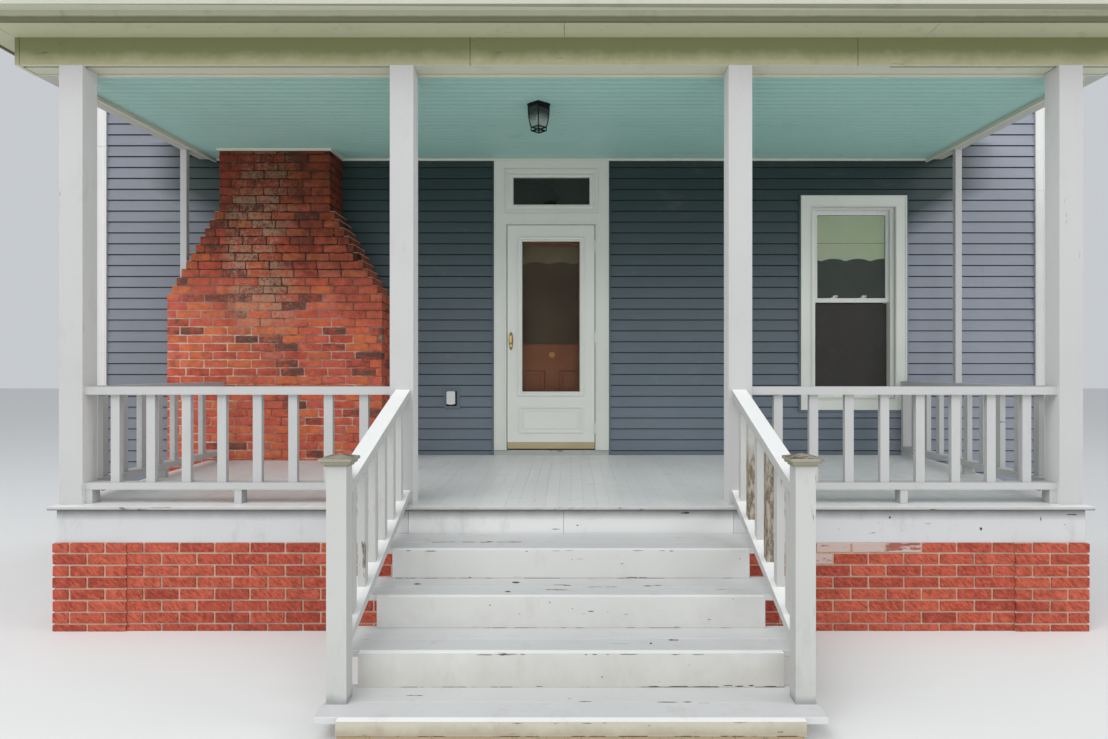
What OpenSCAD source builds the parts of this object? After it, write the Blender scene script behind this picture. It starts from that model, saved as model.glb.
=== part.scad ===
// Front porch against the front wall of a wooden house, in millimetres.
// +X runs to the right along the house, +Y into the house, +Z up from the ground.
// Depths named *_d are counted outwards from the face of the siding.

/* [House wall] */
// Width of the house front over its corner posts
house_w = 8834; // [8600:2:9600]
// Thickness of the framed wall behind the siding
wall_t = 160; // [110:5:240]
// Thickness of the siding and its laps
siding_t = 20; // [12:1:30]
// Height of the wall piece above the ground
wall_top = 4560; // [4520:10:5200]
// Height of the brick base under the house wall
base_top = 560; // [400:5:640]
// Width of the vinyl corner posts
corner_w = 93; // [60:1:140]
// How far corner posts and casings stand proud of the siding
trim_proud = 12; // [4:1:18]

/* [Chimney] */
// Middle of the chimney along the house
chimney_x = -2622; // [-2800:2:-2400]
// Width of the chimney below its shoulders
chimney_w = 1900; // [1500:10:2000]
// Width of the stack above the shoulders
stack_w = 978; // [700:2:1100]
// How far the brickwork stands out from the siding
chimney_d = 357; // [260:1:420]
// Height where the shoulders begin
shoulder_low = 2200; // [1900:10:2400]
// Height where the shoulders end in the stack
shoulder_high = 3000; // [2700:10:3150]
// Number of brick steps in each shoulder
shoulder_steps = 11; // [6:1:14]

/* [Front door] */
// Middle of the doorway along the house
door_x = -182; // [-400:2:200]
// Width between the inner edges of the casing
door_open_w = 874; // [800:2:980]
// Width of the casing boards
casing_w = 97; // [60:1:110]
// Height of the sill's top
sill_top = 854; // [845:1:880]
// Underside of the rail between door and transom
door_head = 2953; // [2700:1:3000]
// Height of the rail between door and transom
header_h = 105; // [60:1:140]
// Height of the transom's frame
transom_h = 418; // [300:2:440]
// Width of the transom frame's members
transom_frame_w = 82; // [40:1:100]
// How far each jamb reaches past the casing towards the door
jamb_reveal_left = 20; // [8:1:30]
// How far the hinge jamb reaches past the casing
jamb_reveal_right = 29; // [26:1:40]

/* [Storm door] */
// Thickness of the door
door_t = 38; // [30:1:45]
// Gap between the door and its frame at the sides and top
door_gap = 7; // [6:0.5:10]
// Gap between the door and the sill
door_floor_gap = 14; // [8:1:20]
// Width of the stiles beside the glass
stile_w = 138; // [110:1:180]
// Height of the rail above the glass
door_top_rail = 150; // [110:1:200]
// Height of the solid lower part of the door
door_lower_h = 531; // [400:1:700]
// Thickness of the storm glass
pane_t = 6; // [4:1:10]
// Depth of the groove that holds the glass
pane_groove = 12; // [8:1:18]
// Width of the raised bead around the glass
bead_w = 40; // [20:1:50]
// Height of the brass sweep at the foot of the door
sweep_h = 62; // [40:1:80]
// Radius of the hinge pins
pin_r = 4; // [3:0.25:5]
// Radius of the hinge knuckles
knuckle_r = 7.5; // [6.5:0.25:8]
// Height of one hinge
hinge_h = 96; // [75:3:120]
// Radial clearance of the hinge pins in their knuckles
pin_clear = 0.08; // [0.03:0.01:0.1]
// Gap between the knuckles of one hinge
knuckle_gap = 0.3; // [0.2:0.05:0.5]
// Height of the handle above the sill
handle_z = 1015; // [850:5:1050]

/* [Front door] */
// Thickness of the inner door
leaf_t = 44; // [35:1:50]
// Width of the stiles and the top rail
leaf_stile = 115; // [90:5:135]
// Height of the rail above the sill that carries the bell
lock_rail_z = 751; // [700:1:800]
// Height of that rail
lock_rail_h = 225; // [150:5:240]
// Height of the bottom rail
leaf_bottom_rail = 220; // [150:5:260]
// Thickness of the recessed panels
panel_t = 14; // [8:1:20]
// Gap between the inner door and its latch jamb
leaf_gap = 7; // [6:0.5:10]
// Width of the strips that the inner door closes against
stop_w = 13; // [8:1:18]

/* [Window] */
// Middle of the window along the house
window_x = 2633; // [2560:1:2720]
// Width between the inner edges of the casing
window_w = 792; // [640:2:820]
// Bottom of the opening inside the casing
window_low = 1325; // [1150:5:1500]
// Top of the opening inside the casing
window_high = 3127; // [2900:1:3150]
// Width of the fixed window frame
window_frame_w = 45; // [30:1:60]
// Width of the sash stiles
sash_w = 31; // [25:1:45]
// Height of the meeting rails
meeting_rail = 40; // [30:1:55]
// Thickness of one sash
sash_t = 34; // [26:1:40]
// Depth of the window frame in the wall
window_depth = 130; // [110:1:150]

/* [Porch posts] */
// Distance over the outer faces of the corner posts
porch_w = 6368; // [6200:2:6500]
// Side of a square porch post
post_s = 146; // [110:1:160]
// Clear width between the two posts beside the steps
step_clear = 1962; // [1920:2:2100]
// Depth from the siding to the front faces of the posts
post_front_d = 2326; // [2200:2:2500]
// Width of the slender props under the side beams
prop_w = 55; // [40:1:80]
// Depth of the slender props
prop_t = 50; // [40:1:80]
// Depth from the siding to the front faces of the props
prop_d = 350; // [250:1:355]

/* [Deck] */
// Height of the deck at its front edge
deck_front = 763; // [745:1:800]
// Rise of the deck from its front edge to the house
deck_fall = 45; // [0:1:50]
// Thickness of the floor boards
floor_t = 22; // [19:1:32]
// How far the floor stands past the posts at the front
floor_past_front = 84; // [70:1:110]
// How far the floor stands past the posts at the sides
floor_past_side = 21; // [10:1:40]
// How far the floor's nosing oversails the skirt
nosing = 30; // [15:1:40]
// Thickness of the skirt boards
skirt_t = 25; // [19:1:32]
// Width of the joists
joist_w = 45; // [38:1:60]
// Number of joists behind the front rim
joists = 5; // [4:1:7]
// Height of the brick foundation under the deck
found_h = 537; // [500:1:560]
// Thickness of the brick foundation walls
found_t = 200; // [110:1:240]
// Width of the corner piers
pier_w = 440; // [330:5:500]
// How far the piers stand proud of the foundation
pier_proud = 10; // [0:1:20]

/* [Steps] */
// Number of treads below the deck
treads = 4; // [4:1:4]
// Drop from the deck to the first tread
first_rise = 169; // [150:1:175]
// Drop from one tread to the next
rise = 161; // [140:1:164]
// Run of one step
run = 341; // [300:1:360]
// Run of the first step, in front of the skirt
first_run = 410; // [380:1:460]
// Width of the risers
riser_w = 2000; // [1900:2:2060]
// How far the treads stand past the risers at each side
tread_past = 110; // [100:1:150]
// Thickness of the tread boards
tread_t = 32; // [25:1:45]
// Thickness of the riser boards
riser_t = 38; // [25:1:45]
// Width of a tread's front board
board_w = 145; // [120:1:160]
// Joint between the two boards of a tread
board_gap = 3; // [1:0.5:6]

/* [Railings] */
// Height of the rail's top above the ground
rail_top = 1496; // [1450:1:1560]
// Thickness of the top rail
rail_h = 50; // [38:1:60]
// Width of the top and bottom rails
rail_w = 90; // [70:1:100]
// Height of the bottom rail's underside above the ground
low_rail_z = 853; // [840:1:880]
// Thickness of the bottom rail
low_rail_h = 43; // [38:1:60]
// How far the front railings sit behind the post faces
rail_inset = 20; // [5:1:30]
// Width of a baluster's face
baluster_w = 55; // [38:1:70]
// Thickness of a baluster
baluster_t = 38; // [25:1:45]
// Balusters in each front railing
front_balusters = 8; // [6:1:10]
// Spacing of the balusters in the side railings
side_pitch = 223; // [180:1:260]
// Balusters in each stair railing
stair_balusters = 6; // [4:1:7]
// Width of the feet under the bottom rail
foot_w = 45; // [38:1:60]
// Side of a square newel post
newel_s = 90; // [80:1:100]
// Height of the newel above the lowest tread
newel_h = 1059; // [1000:1:1120]
// Distance of the newel from the riser behind it
newel_set = 90; // [20:1:140]
// Width of the newel cap's top slab
cap_w = 147; // [120:1:170]
// Drop of the stair rail below the porch rail where they meet the post
rail_step = 18; // [0:1:40]
// Drop of the stair rail below the top of the newel
newel_drop = 83; // [40:1:120]
// Height of the lower stair rail's top above the tread at the newel
low_rail_rise = 297; // [260:1:340]

/* [Roof] */
// Height of the underside of the front beam
beam_z = 3497; // [3450:1:3540]
// Height of the beams
beam_h = 183; // [150:1:220]
// Width of the front beam
beam_w = 173; // [140:1:200]
// Width of the side beams
side_beam_w = 141; // [110:1:180]
// Distance from the middle of the porch to a side beam's outer face
beam_end = 3461; // [3440:1:3540]
// Rise of the ceiling from the front beam to the house
ceiling_fall = 62; // [0:1:70]
// Thickness of the beaded ceiling boards
ceiling_t = 20; // [15:1:30]
// Drop of the trim strips around the ceiling
trim_drop = 30; // [15:1:45]
// Thickness of the trim strips
trim_t = 18; // [12:1:25]
// Overhang of the soffit in front of the beam
eave_front = 214; // [150:1:300]
// Overhang of the soffit at the sides
eave_side = 170; // [120:1:250]
// Thickness of the soffit panels
soffit_t = 12; // [8:1:20]
// Thickness of the fascia boards
fascia_t = 20; // [15:1:30]
// Height of the fascia boards above the soffit's underside
fascia_h = 180; // [160:1:210]
// Rise of the roof over a run of 1000
pitch = 250; // [200:5:260]
// Thickness of the roof boards and shingles
roof_t = 36; // [25:1:60]
// How far the roof's edge stands past the fascia
drip = 25; // [10:1:40]
// Width of the gutter over its lip
gutter_w = 122; // [90:1:140]
// Height of the gutter
gutter_h = 115; // [80:1:120]
// Thickness of the gutter's sheet
gutter_t = 3; // [2:0.5:5]

/* [Fittings] */
// Side of the ceiling lantern's top plate
lantern_s = 120; // [90:1:150]
// Height of the ceiling lantern
lantern_h = 205; // [160:1:260]
// Place of the lantern along the house
lantern_x = -233; // [-600:1:400]
// Depth from the siding to the lantern
lantern_d = 1580; // [1000:10:1800]
// Width of the outlet cover
outlet_w = 110; // [70:1:130]
// Height of the outlet cover
outlet_h = 148; // [110:1:170]
// Place of the outlet cover along the house
outlet_x = -1109; // [-1300:1:-900]
// Height of the outlet cover's lower edge
outlet_z = 1255; // [1100:5:1500]

/* [Hidden] */

white = "#e4e4e2";
brick = "#a8483a";
slate = "#5f6d7c";
joint = 0.5;
seat = 0.2;
stack_clear = 5;

// Depths and heights that follow from the sizes above
riser_d = [for (i = [0:treads - 1]) post_front_d + floor_past_front - nosing + first_run + i * run];
tread_z = [for (i = [0:treads - 1]) deck_front - first_rise - i * rise];
stair_front_d = riser_d[treads - 1];
depth = stair_front_d + siding_t + wall_t;
wall_y = depth / 2 - siding_t - wall_t;
nosing_d = post_front_d + floor_past_front;
skirt_d = nosing_d - nosing;
post_back_d = post_front_d - post_s;
floor_x = porch_w / 2 + floor_past_side;
skirt_x = floor_x - nosing - joint * 24;
found_x = skirt_x + 2;
found_d = skirt_d + 10;
beam_back_d = post_front_d - beam_w;
ceiling_x = beam_end - side_beam_w;
ceiling_z = beam_z + 7;
beam_top = beam_z + beam_h;
soffit_z = beam_top - soffit_t;
fascia_d = post_front_d + eave_front;
fascia_x = beam_end + eave_side;
eave_d = fascia_d + fascia_t + drip;
eave_x = fascia_x + fascia_t + drip;
fascia_low = soffit_z - 8;
fascia_top = soffit_z + fascia_h;
step_in = step_clear / 2;
corner_out = porch_w / 2;
corner_in = corner_out - post_s;
door_l = door_x - door_open_w / 2;
door_r = door_x + door_open_w / 2;
frame_t = 20;
rough_l = door_l - frame_t;
rough_r = door_r + frame_t;
slab_l = door_l + jamb_reveal_left + door_gap;
slab_r = door_r - jamb_reveal_right - door_gap;
slab_low = sill_top + door_floor_gap;
slab_high = door_head - door_gap;
slab_front_d = trim_proud + 2;
transom_low = door_head + header_h;
transom_high = transom_low + transom_h;
pin_x = slab_r + door_gap / 2;
pin_d = slab_front_d + knuckle_r + joint;
leaf_back_d = knuckle_r + joint - siding_t - wall_t;
leaf_front_d = leaf_back_d + leaf_t;
leaf_pin_x = door_r - jamb_reveal_right - knuckle_r - 1;
leaf_l = slab_l;
leaf_r = leaf_pin_x - knuckle_r - 5;
leaf_low = sill_top + 8;
leaf_high = door_head - leaf_gap;
leaf_glass_low = sill_top + lock_rail_z + lock_rail_h;
leaf_glass_high = leaf_high - leaf_stile - 31;
window_l = window_x - window_w / 2;
window_r = window_x + window_w / 2;
glass_out = 15;
newel_out = riser_w / 2;
low_tread = tread_z[treads - 1];
newel_back_d = riser_d[treads - 2] + newel_set;
stair_rail_high = rail_top - rail_step;
stair_rail_low = low_tread + newel_h - newel_drop;
stair_low_high = low_rail_z;
stair_low_low = low_tread + low_rail_rise;

casing_top = ceiling_z + ceiling_fall - trim_t - joint;

// Y of a depth counted outwards from the siding
function fy(d) = wall_y - d;
// Height of the deck's surface at a depth
function deck_z(d) = deck_front + deck_fall * (1 - d / nosing_d);
// Height of the ceiling's underside at a depth
function ceil_z(d) = ceiling_z + ceiling_fall * (1 - d / beam_back_d);
// Height of the roof's underside at a distance in from the eave
function roof_z(in) = fascia_top + in * pitch / 1000;
// Height on a slope between two ends of the stair railing
function stair_z(d, high, low) =
    high + (low - high) * (d - post_front_d) / (newel_back_d - post_front_d);

// Box between two corners, its depths counted outwards from the siding
module block(x0, x1, d0, d1, z0, z1) {
    translate([x0, fy(d1), z0]) cube([x1 - x0, d1 - d0, z1 - z0]);
}

// Outline of [depth, height] points, carried along X
module along_x(x0, x1, points) {
    translate([x0, 0, 0]) rotate([90, 0, 90])
        linear_extrude(x1 - x0) polygon([for (p = points) [fy(p[0]), p[1]]]);
}

// Outline of [x, height] points, carried from one depth to another
module along_y(d0, d1, points) {
    translate([0, fy(d0), 0]) rotate([90, 0, 0]) linear_extrude(d1 - d0) polygon(points);
}

// A piece and its mirror image across the middle of the porch
module both_sides() {
    children();
    mirror([1, 0, 0]) children();
}

// Outline of the chimney seen from the front
module chimney_shape(grow = 0) {
    step_h = (shoulder_high - shoulder_low) / shoulder_steps;
    step_w = (chimney_w - stack_w) / 2 / shoulder_steps;
    half = chimney_w / 2 + grow;
    right = [for (i = [0:shoulder_steps - 1]) each [
        [half - i * step_w, shoulder_low + i * step_h],
        [half - (i + 1) * step_w, shoulder_low + i * step_h]
    ]];
    flank = concat([[half, 0]], right, [[stack_w / 2 + grow, wall_top]]);
    left = [for (i = [len(flank) - 1:-1:0]) [-flank[i][0], flank[i][1]]];
    along_y(-siding_t, chimney_d, [for (p = concat(flank, left)) [chimney_x + p[0], p[1]]]);
}

// Room left around the chimney by the boards that meet it
module chimney_hole(z0, z1, half_w) {
    block(chimney_x - half_w - stack_clear, chimney_x + half_w + stack_clear,
        -siding_t - 1, chimney_d + stack_clear, z0, z1);
}

// House wall and what is built into it
module house_foundation() {
    color(brick) block(-house_w / 2 + 20, house_w / 2 - 20, -siding_t - wall_t, -siding_t,
        0, base_top);
}

module wall_piece(x0, x1, z0, z1) {
    color("tan") block(x0, x1, -siding_t - wall_t, -siding_t, z0, z1);
}

module wall_left() {
    wall_piece(-house_w / 2 + 20, rough_l, base_top, wall_top);
}

module wall_middle() {
    wall_piece(rough_r, window_l - frame_t, base_top, wall_top);
}

module wall_right() {
    wall_piece(window_r + frame_t, house_w / 2 - 20, base_top, wall_top);
}

module wall_at_door() {
    wall_piece(rough_l, rough_r, transom_high + frame_t, wall_top);
    wall_piece(rough_l, rough_r, base_top, deck_z(0));
}

module wall_at_window() {
    wall_piece(window_l - frame_t, window_r + frame_t, window_high + frame_t, wall_top);
    wall_piece(window_l - frame_t, window_r + frame_t, base_top, window_low - frame_t);
}

module siding() {
    face = house_w / 2 - corner_w;
    color(slate) difference() {
        block(-face, face, -siding_t, 0, base_top, wall_top);
        block(door_l - casing_w, door_r + casing_w, -siding_t - 1, 1, deck_z(0), casing_top);
        block(window_l - casing_w, window_r + casing_w, -siding_t - 1, 1,
            window_low - casing_w, window_high + casing_w);
        chimney_shape(0);
    }
}

module house_corner_posts() {
    wrap = 90;
    color(white) both_sides() {
        block(house_w / 2 - corner_w, house_w / 2, -siding_t, trim_proud, base_top - 20, wall_top);
        block(house_w / 2 - 20, house_w / 2, -siding_t - wrap, -siding_t, base_top - 20, wall_top);
    }
}

module chimney() {
    color(brick) chimney_shape();
}

module outlet_cover() {
    box_d = 30;
    color("#dcdcda") block(outlet_x - outlet_w / 2, outlet_x + outlet_w / 2, 0, box_d,
        outlet_z, outlet_z + outlet_h);
}

// Doorway: casing, jambs, sill and transom
module door_casing() {
    color(white) {
        block(door_l - casing_w, door_l, -siding_t, trim_proud, sill_top, transom_high);
        block(door_r, door_r + casing_w, -siding_t, trim_proud, sill_top, transom_high);
        block(door_l - casing_w, door_r + casing_w, -siding_t, trim_proud,
            transom_high + joint, casing_top);
    }
}

module door_jambs() {
    back = -siding_t - wall_t;
    inner_l = door_l + jamb_reveal_left;
    inner_r = door_r - jamb_reveal_right;
    color(white) {
        block(rough_l, inner_l, back, -siding_t, sill_top, door_head - joint);
        block(door_l, inner_l, -siding_t - 1, slab_front_d, sill_top, door_head - joint);
        block(inner_r, rough_r, back, -siding_t, sill_top, door_head - joint);
        block(inner_r, door_r, -siding_t - 1, slab_front_d, sill_top, door_head - joint);
        block(rough_l, rough_r, back, -siding_t, door_head, transom_low);
        block(door_l, door_r, -siding_t, slab_front_d, door_head, transom_low);
        stop_top = door_head - stop_w - joint;
        block(inner_l, inner_l + stop_w, leaf_front_d + 5, leaf_front_d + 35, sill_top, stop_top);
        block(inner_r - 2 * stop_w, inner_r, leaf_front_d + 5, leaf_front_d + 35, sill_top, stop_top);
        block(inner_l + joint, inner_r - joint, leaf_front_d + 5, leaf_front_d + 35,
            door_head - stop_w, door_head);
    }
}

module door_sill() {
    color("#b9babd") {
        block(rough_l, rough_r, -siding_t - wall_t, -siding_t, deck_z(0), sill_top);
        block(door_l - casing_w, door_r + casing_w, -siding_t, 0, deck_z(0), sill_top);
    }
}

module transom_frame() {
    frame_d = 60;
    color(white) difference() {
        union() {
            block(door_l, door_r, -siding_t, trim_proud - 6, transom_low + joint, transom_high);
            block(rough_l, rough_r, -frame_d, -siding_t, transom_low + joint, transom_high + frame_t);
        }
        block(door_l + transom_frame_w, door_r - transom_frame_w, -frame_d - 1, trim_proud,
            transom_low + transom_frame_w, transom_high - transom_frame_w);
    }
}

module transom_glass() {
    color("#2c2f2c") block(door_l + transom_frame_w + joint, door_r - transom_frame_w - joint,
        -30, -30 + pane_t, transom_low + transom_frame_w + joint,
        transom_high - transom_frame_w - joint);
}

// Storm door, hinged on its right edge
module storm_door_slab() {
    back_d = slab_front_d - door_t;
    pane_low = slab_low + sweep_h + door_lower_h - sweep_h;
    pane_high = slab_high - door_top_rail;
    raised = 5;
    color(white) difference() {
        union() {
            block(slab_l, slab_r, back_d, slab_front_d, slab_low + sweep_h, slab_high);
            block(slab_l + stile_w - bead_w, slab_r - stile_w + bead_w, slab_front_d - 1,
                slab_front_d + raised, pane_low - bead_w, pane_high + bead_w);
        }
        block(slab_l + stile_w, slab_r - stile_w, back_d - 1, slab_front_d + raised + 1,
            pane_low, pane_high);
        block(slab_l + stile_w - pane_groove, slab_r - stile_w + pane_groove,
            slab_front_d - door_t / 2 - pane_t / 2 - joint, slab_front_d - door_t / 2 + pane_t / 2 + joint,
            pane_low - pane_groove, pane_high + pane_groove);
    }
}

module storm_door_glass() {
    pane_low = slab_low + door_lower_h;
    pane_high = slab_high - door_top_rail;
    side = pane_groove - joint;
    color("#3a332c") block(slab_l + stile_w - side, slab_r - stile_w + side,
        slab_front_d - door_t / 2 - pane_t / 2, slab_front_d - door_t / 2 + pane_t / 2,
        pane_low - side, pane_high + side);
}

module storm_door_sweep() {
    color("#b29a62") block(slab_l, slab_r, slab_front_d - door_t + 2, slab_front_d - 2,
        slab_low, slab_low + sweep_h);
}

module storm_door_handle() {
    handle_x = slab_l + 34;
    plate_h = 172;
    plate_w = 40;
    z_mid = sill_top + handle_z;
    back_d = slab_front_d - door_t;
    oval = [for (turn = [0:15:345]) [plate_w / 2 * cos(turn), plate_h / 2 * sin(turn)]];
    color("#6f6443") {
        translate([handle_x, fy(slab_front_d), z_mid]) rotate([90, 0, 0]) {
            linear_extrude(6) polygon(oval);
            translate([0, 38, 0]) cylinder(r = 9, h = 36);
            translate([0, 0, 34]) linear_extrude(12)
                polygon([[-11, 42], [-7, 50], [7, 50], [11, 42], [8, -16], [-8, -16]]);
            translate([0, -42, 0]) cylinder(r = 12, h = 14);
        }
        translate([handle_x, fy(back_d), z_mid]) rotate([-90, 0, 0]) {
            linear_extrude(6) polygon(oval);
            cylinder(r = 9, h = 38);
            translate([-9, -9, 30]) cube([90, 18, 14]);
        }
    }
}

// Inner door, hinged on its right edge and opening inwards
module front_door_leaf() {
    mid = (leaf_l + leaf_r) / 2 + 12;
    muntin = leaf_stile / 2;
    deep = (leaf_t - panel_t) / 2;
    panel_low = leaf_low + leaf_bottom_rail;
    panel_high = sill_top + lock_rail_z;
    glass_d = leaf_back_d + leaf_t / 2;
    color("#7a4a35") difference() {
        block(leaf_l, leaf_r, leaf_back_d, leaf_front_d, leaf_low, leaf_high);
        for (x = [[leaf_l + leaf_stile, mid - muntin], [mid + muntin, leaf_r - leaf_stile]]) {
            block(x[0], x[1], leaf_front_d - deep, leaf_front_d + 1, panel_low, panel_high);
            block(x[0], x[1], leaf_back_d - 1, leaf_back_d + deep, panel_low, panel_high);
        }
        block(leaf_l + leaf_stile, leaf_r - leaf_stile, leaf_back_d - 1, leaf_front_d + 1,
            leaf_glass_low, leaf_glass_high);
        block(leaf_l + leaf_stile - pane_groove, leaf_r - leaf_stile + pane_groove,
            glass_d - pane_t / 2 - joint, glass_d + pane_t / 2 + joint,
            leaf_glass_low - pane_groove, leaf_glass_high + pane_groove);
    }
}

module front_door_glass() {
    side = pane_groove - joint;
    glass_d = leaf_back_d + leaf_t / 2;
    color("#2c2f2c") block(leaf_l + leaf_stile - side, leaf_r - leaf_stile + side,
        glass_d - pane_t / 2, glass_d + pane_t / 2, leaf_glass_low - side, leaf_glass_high + side);
}

// Knob outside, escutcheon inside and the turn bell on the lock rail
module front_door_fittings() {
    knob_x = leaf_l + leaf_stile / 2;
    bell_x = (leaf_l + leaf_r) / 2 + 12;
    bell_z = sill_top + lock_rail_z + 0.62 * lock_rail_h;
    color("#9a8450") {
        translate([knob_x, fy(leaf_front_d), sill_top + handle_z - 60]) rotate([90, 0, 0]) {
            cylinder(r = 29, h = 4);
            cylinder(r = 9, h = 24);
            translate([0, 0, 24]) cylinder(r = 25, h = 22);
        }
        block(knob_x - 22, knob_x + 22, leaf_back_d - 4, leaf_back_d,
            sill_top + handle_z - 150, sill_top + handle_z);
        translate([bell_x, fy(leaf_front_d), bell_z]) rotate([90, 0, 0]) {
            cylinder(r = 28, h = 5);
            translate([-3, -13, 5]) cube([6, 26, 12]);
        }
    }
}

module front_door_knuckles() {
    color("#9a8450") for (z = hinge_z) {
        difference() {
            union() {
                translate([leaf_pin_x, fy(leaf_back_d), z - third / 2 + knuckle_gap])
                    cylinder(r = knuckle_r, h = third - 2 * knuckle_gap);
                block(leaf_r - 34, leaf_pin_x, leaf_back_d - plate_t, leaf_back_d,
                    z - third / 2 + knuckle_gap, z + third / 2 - knuckle_gap);
            }
            translate([leaf_pin_x, fy(leaf_back_d), z - hinge_h])
                cylinder(r = pin_r + pin_clear, h = 2 * hinge_h);
        }
    }
}

hinge_z = [slab_low + 190, (slab_low + slab_high) / 2, slab_high - 190];
third = hinge_h / 3;
plate_t = 3;

module storm_door_knuckles() {
    color(white) for (z = hinge_z) {
        difference() {
            union() {
                translate([pin_x, fy(pin_d), z - third / 2 + knuckle_gap])
                    cylinder(r = knuckle_r, h = third - 2 * knuckle_gap);
                block(pin_x - knuckle_r - 2, pin_x, slab_front_d, slab_front_d + plate_t + 1,
                    z - third / 2 + knuckle_gap, z + third / 2 - knuckle_gap);
                block(slab_r - 34, pin_x - knuckle_r - 1, slab_front_d, slab_front_d + plate_t,
                    z - hinge_h / 2, z + hinge_h / 2);
            }
            translate([pin_x, fy(pin_d), z - hinge_h])
                cylinder(r = pin_r + pin_clear, h = 2 * hinge_h);
        }
    }
}

module hinge_pins() {
    color(white) for (z = hinge_z) {
        translate([pin_x, fy(pin_d), z - hinge_h / 2]) cylinder(r = pin_r, h = hinge_h);
        for (end = [z - hinge_h / 2, z + third / 2]) {
            translate([pin_x, fy(pin_d), end]) cylinder(r = knuckle_r, h = third);
            block(pin_x, pin_x + knuckle_r + 2, slab_front_d, slab_front_d + plate_t + 1, end, end + third);
        }
        block(pin_x + knuckle_r + 1, door_r - 2, slab_front_d, slab_front_d + plate_t,
            z - hinge_h / 2, z + hinge_h / 2);
    }
    for (z = hinge_z) {
        translate([leaf_pin_x, fy(leaf_back_d), z - hinge_h / 2]) cylinder(r = pin_r, h = hinge_h);
        for (end = [z - hinge_h / 2, z + third / 2]) {
            translate([leaf_pin_x, fy(leaf_back_d), end]) cylinder(r = knuckle_r, h = third);
            block(leaf_pin_x, door_r - jamb_reveal_right, leaf_back_d - 2, leaf_back_d + 2, end, end + third);
        }
    }
}

// Window
module window_casing() {
    color(white) {
        for (x = [window_l - casing_w, window_r])
            block(x, x + casing_w, -siding_t, trim_proud, window_low, window_high);
        for (z = [window_low - casing_w, window_high])
            block(window_l - casing_w, window_r + casing_w, -siding_t, trim_proud,
                z + (z > window_low ? joint : 0), z + casing_w - (z > window_low ? 0 : joint));
    }
}

module window_frame() {
    color(white) difference() {
        block(window_l - frame_t, window_r + frame_t, -siding_t - window_depth, -siding_t,
            window_low - frame_t, window_high + frame_t);
        block(window_l + window_frame_w, window_r - window_frame_w,
            -siding_t - window_depth - 1, 1,
            window_low + window_frame_w, window_high - window_frame_w + 15);
    }
}

// One sash with its glass left out
module sash(d0, z0, z1, low_rail, high_rail) {
    x0 = window_l + window_frame_w;
    x1 = window_r - window_frame_w;
    difference() {
        block(x0, x1, d0 - sash_t, d0, z0, z1);
        block(x0 + sash_w, x1 - sash_w, d0 - sash_t - 1, d0 + 1, z0 + low_rail, z1 - high_rail);
    }
}

upper_sash_d = -siding_t - 34;
lower_sash_d = upper_sash_d - sash_t - 2;
window_mid = (window_low + window_high) / 2 + 28;

module window_sashes() {
    color(white) {
        sash(upper_sash_d, window_mid - meeting_rail / 2, window_high - window_frame_w + 15,
            meeting_rail, sash_w + 12);
        sash(lower_sash_d, window_low + window_frame_w, window_mid + meeting_rail / 2,
            2 * sash_w, meeting_rail);
    }
}

module window_glass() {
    x0 = window_l + window_frame_w + sash_w + joint;
    x1 = window_r - window_frame_w - sash_w - joint;
    color("#2b302a") {
        block(x0, x1, upper_sash_d - 26, upper_sash_d - 6, window_mid + meeting_rail / 2 + joint,
            window_high - window_frame_w + 15 - sash_w - 12 - joint);
        block(x0, x1, lower_sash_d - 26, lower_sash_d - 6,
            window_low + window_frame_w + 2 * sash_w + joint, window_mid - meeting_rail / 2 - joint);
    }
}

// Brick foundation of the porch
module foundation_walls() {
    inner = found_x - pier_w;
    back = found_d - pier_w;
    color(brick) {
        block(-inner, inner, found_d - found_t, found_d, 0, found_h);
        block(found_x - found_t, found_x, -siding_t, back, 0, found_h);
        block(-found_x, -found_x + found_t, chimney_d, back, 0, found_h);
    }
}

module foundation_piers() {
    color(brick) both_sides() block(found_x - pier_w, found_x + pier_proud,
        found_d - pier_w, found_d + pier_proud, 0, found_h);
}

// Deck
module deck_joists() {
    first = chimney_d + stack_clear + joist_w;
    last = skirt_d - skirt_t - joist_w;
    inner = skirt_x - skirt_t;
    under = [for (i = [0:joists]) first + (last - first) * i / joists];
    color("burlywood") {
        for (d = under) along_x(-inner, inner, [
            [d, found_h], [d + joist_w, found_h],
            [d + joist_w, deck_z(d + joist_w) - floor_t - seat], [d, deck_z(d) - floor_t - seat]
        ]);
        along_x(chimney_x + chimney_w / 2 + stack_clear, inner, [
            [0, found_h], [joist_w, found_h],
            [joist_w, deck_z(joist_w) - floor_t - seat], [0, deck_z(0) - floor_t - seat]
        ]);
    }
}

module deck_skirt() {
    front_back = skirt_d - skirt_t;
    color(white) {
        along_x(-skirt_x, skirt_x, [
            [front_back, found_h], [skirt_d, found_h],
            [skirt_d, deck_z(skirt_d) - floor_t - seat], [front_back, deck_z(front_back) - floor_t - seat]
        ]);
        for (side = [[skirt_x - skirt_t, skirt_x, 0],
                     [-skirt_x, -skirt_x + skirt_t, chimney_d + stack_clear]])
            along_x(side[0], side[1], [
                [side[2], found_h], [front_back - joint, found_h],
                [front_back - joint, deck_z(front_back) - floor_t - seat],
                [side[2], deck_z(side[2]) - floor_t - seat]
            ]);
    }
}

module deck_floor() {
    color("#b4b6b9") difference() {
        along_x(-floor_x, floor_x, [
            [0, deck_z(0) - floor_t], [nosing_d, deck_z(nosing_d) - floor_t],
            [nosing_d, deck_z(nosing_d)], [0, deck_z(0)]
        ]);
        chimney_hole(deck_front - 100, deck_front + 100, chimney_w / 2);
    }
}

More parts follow.
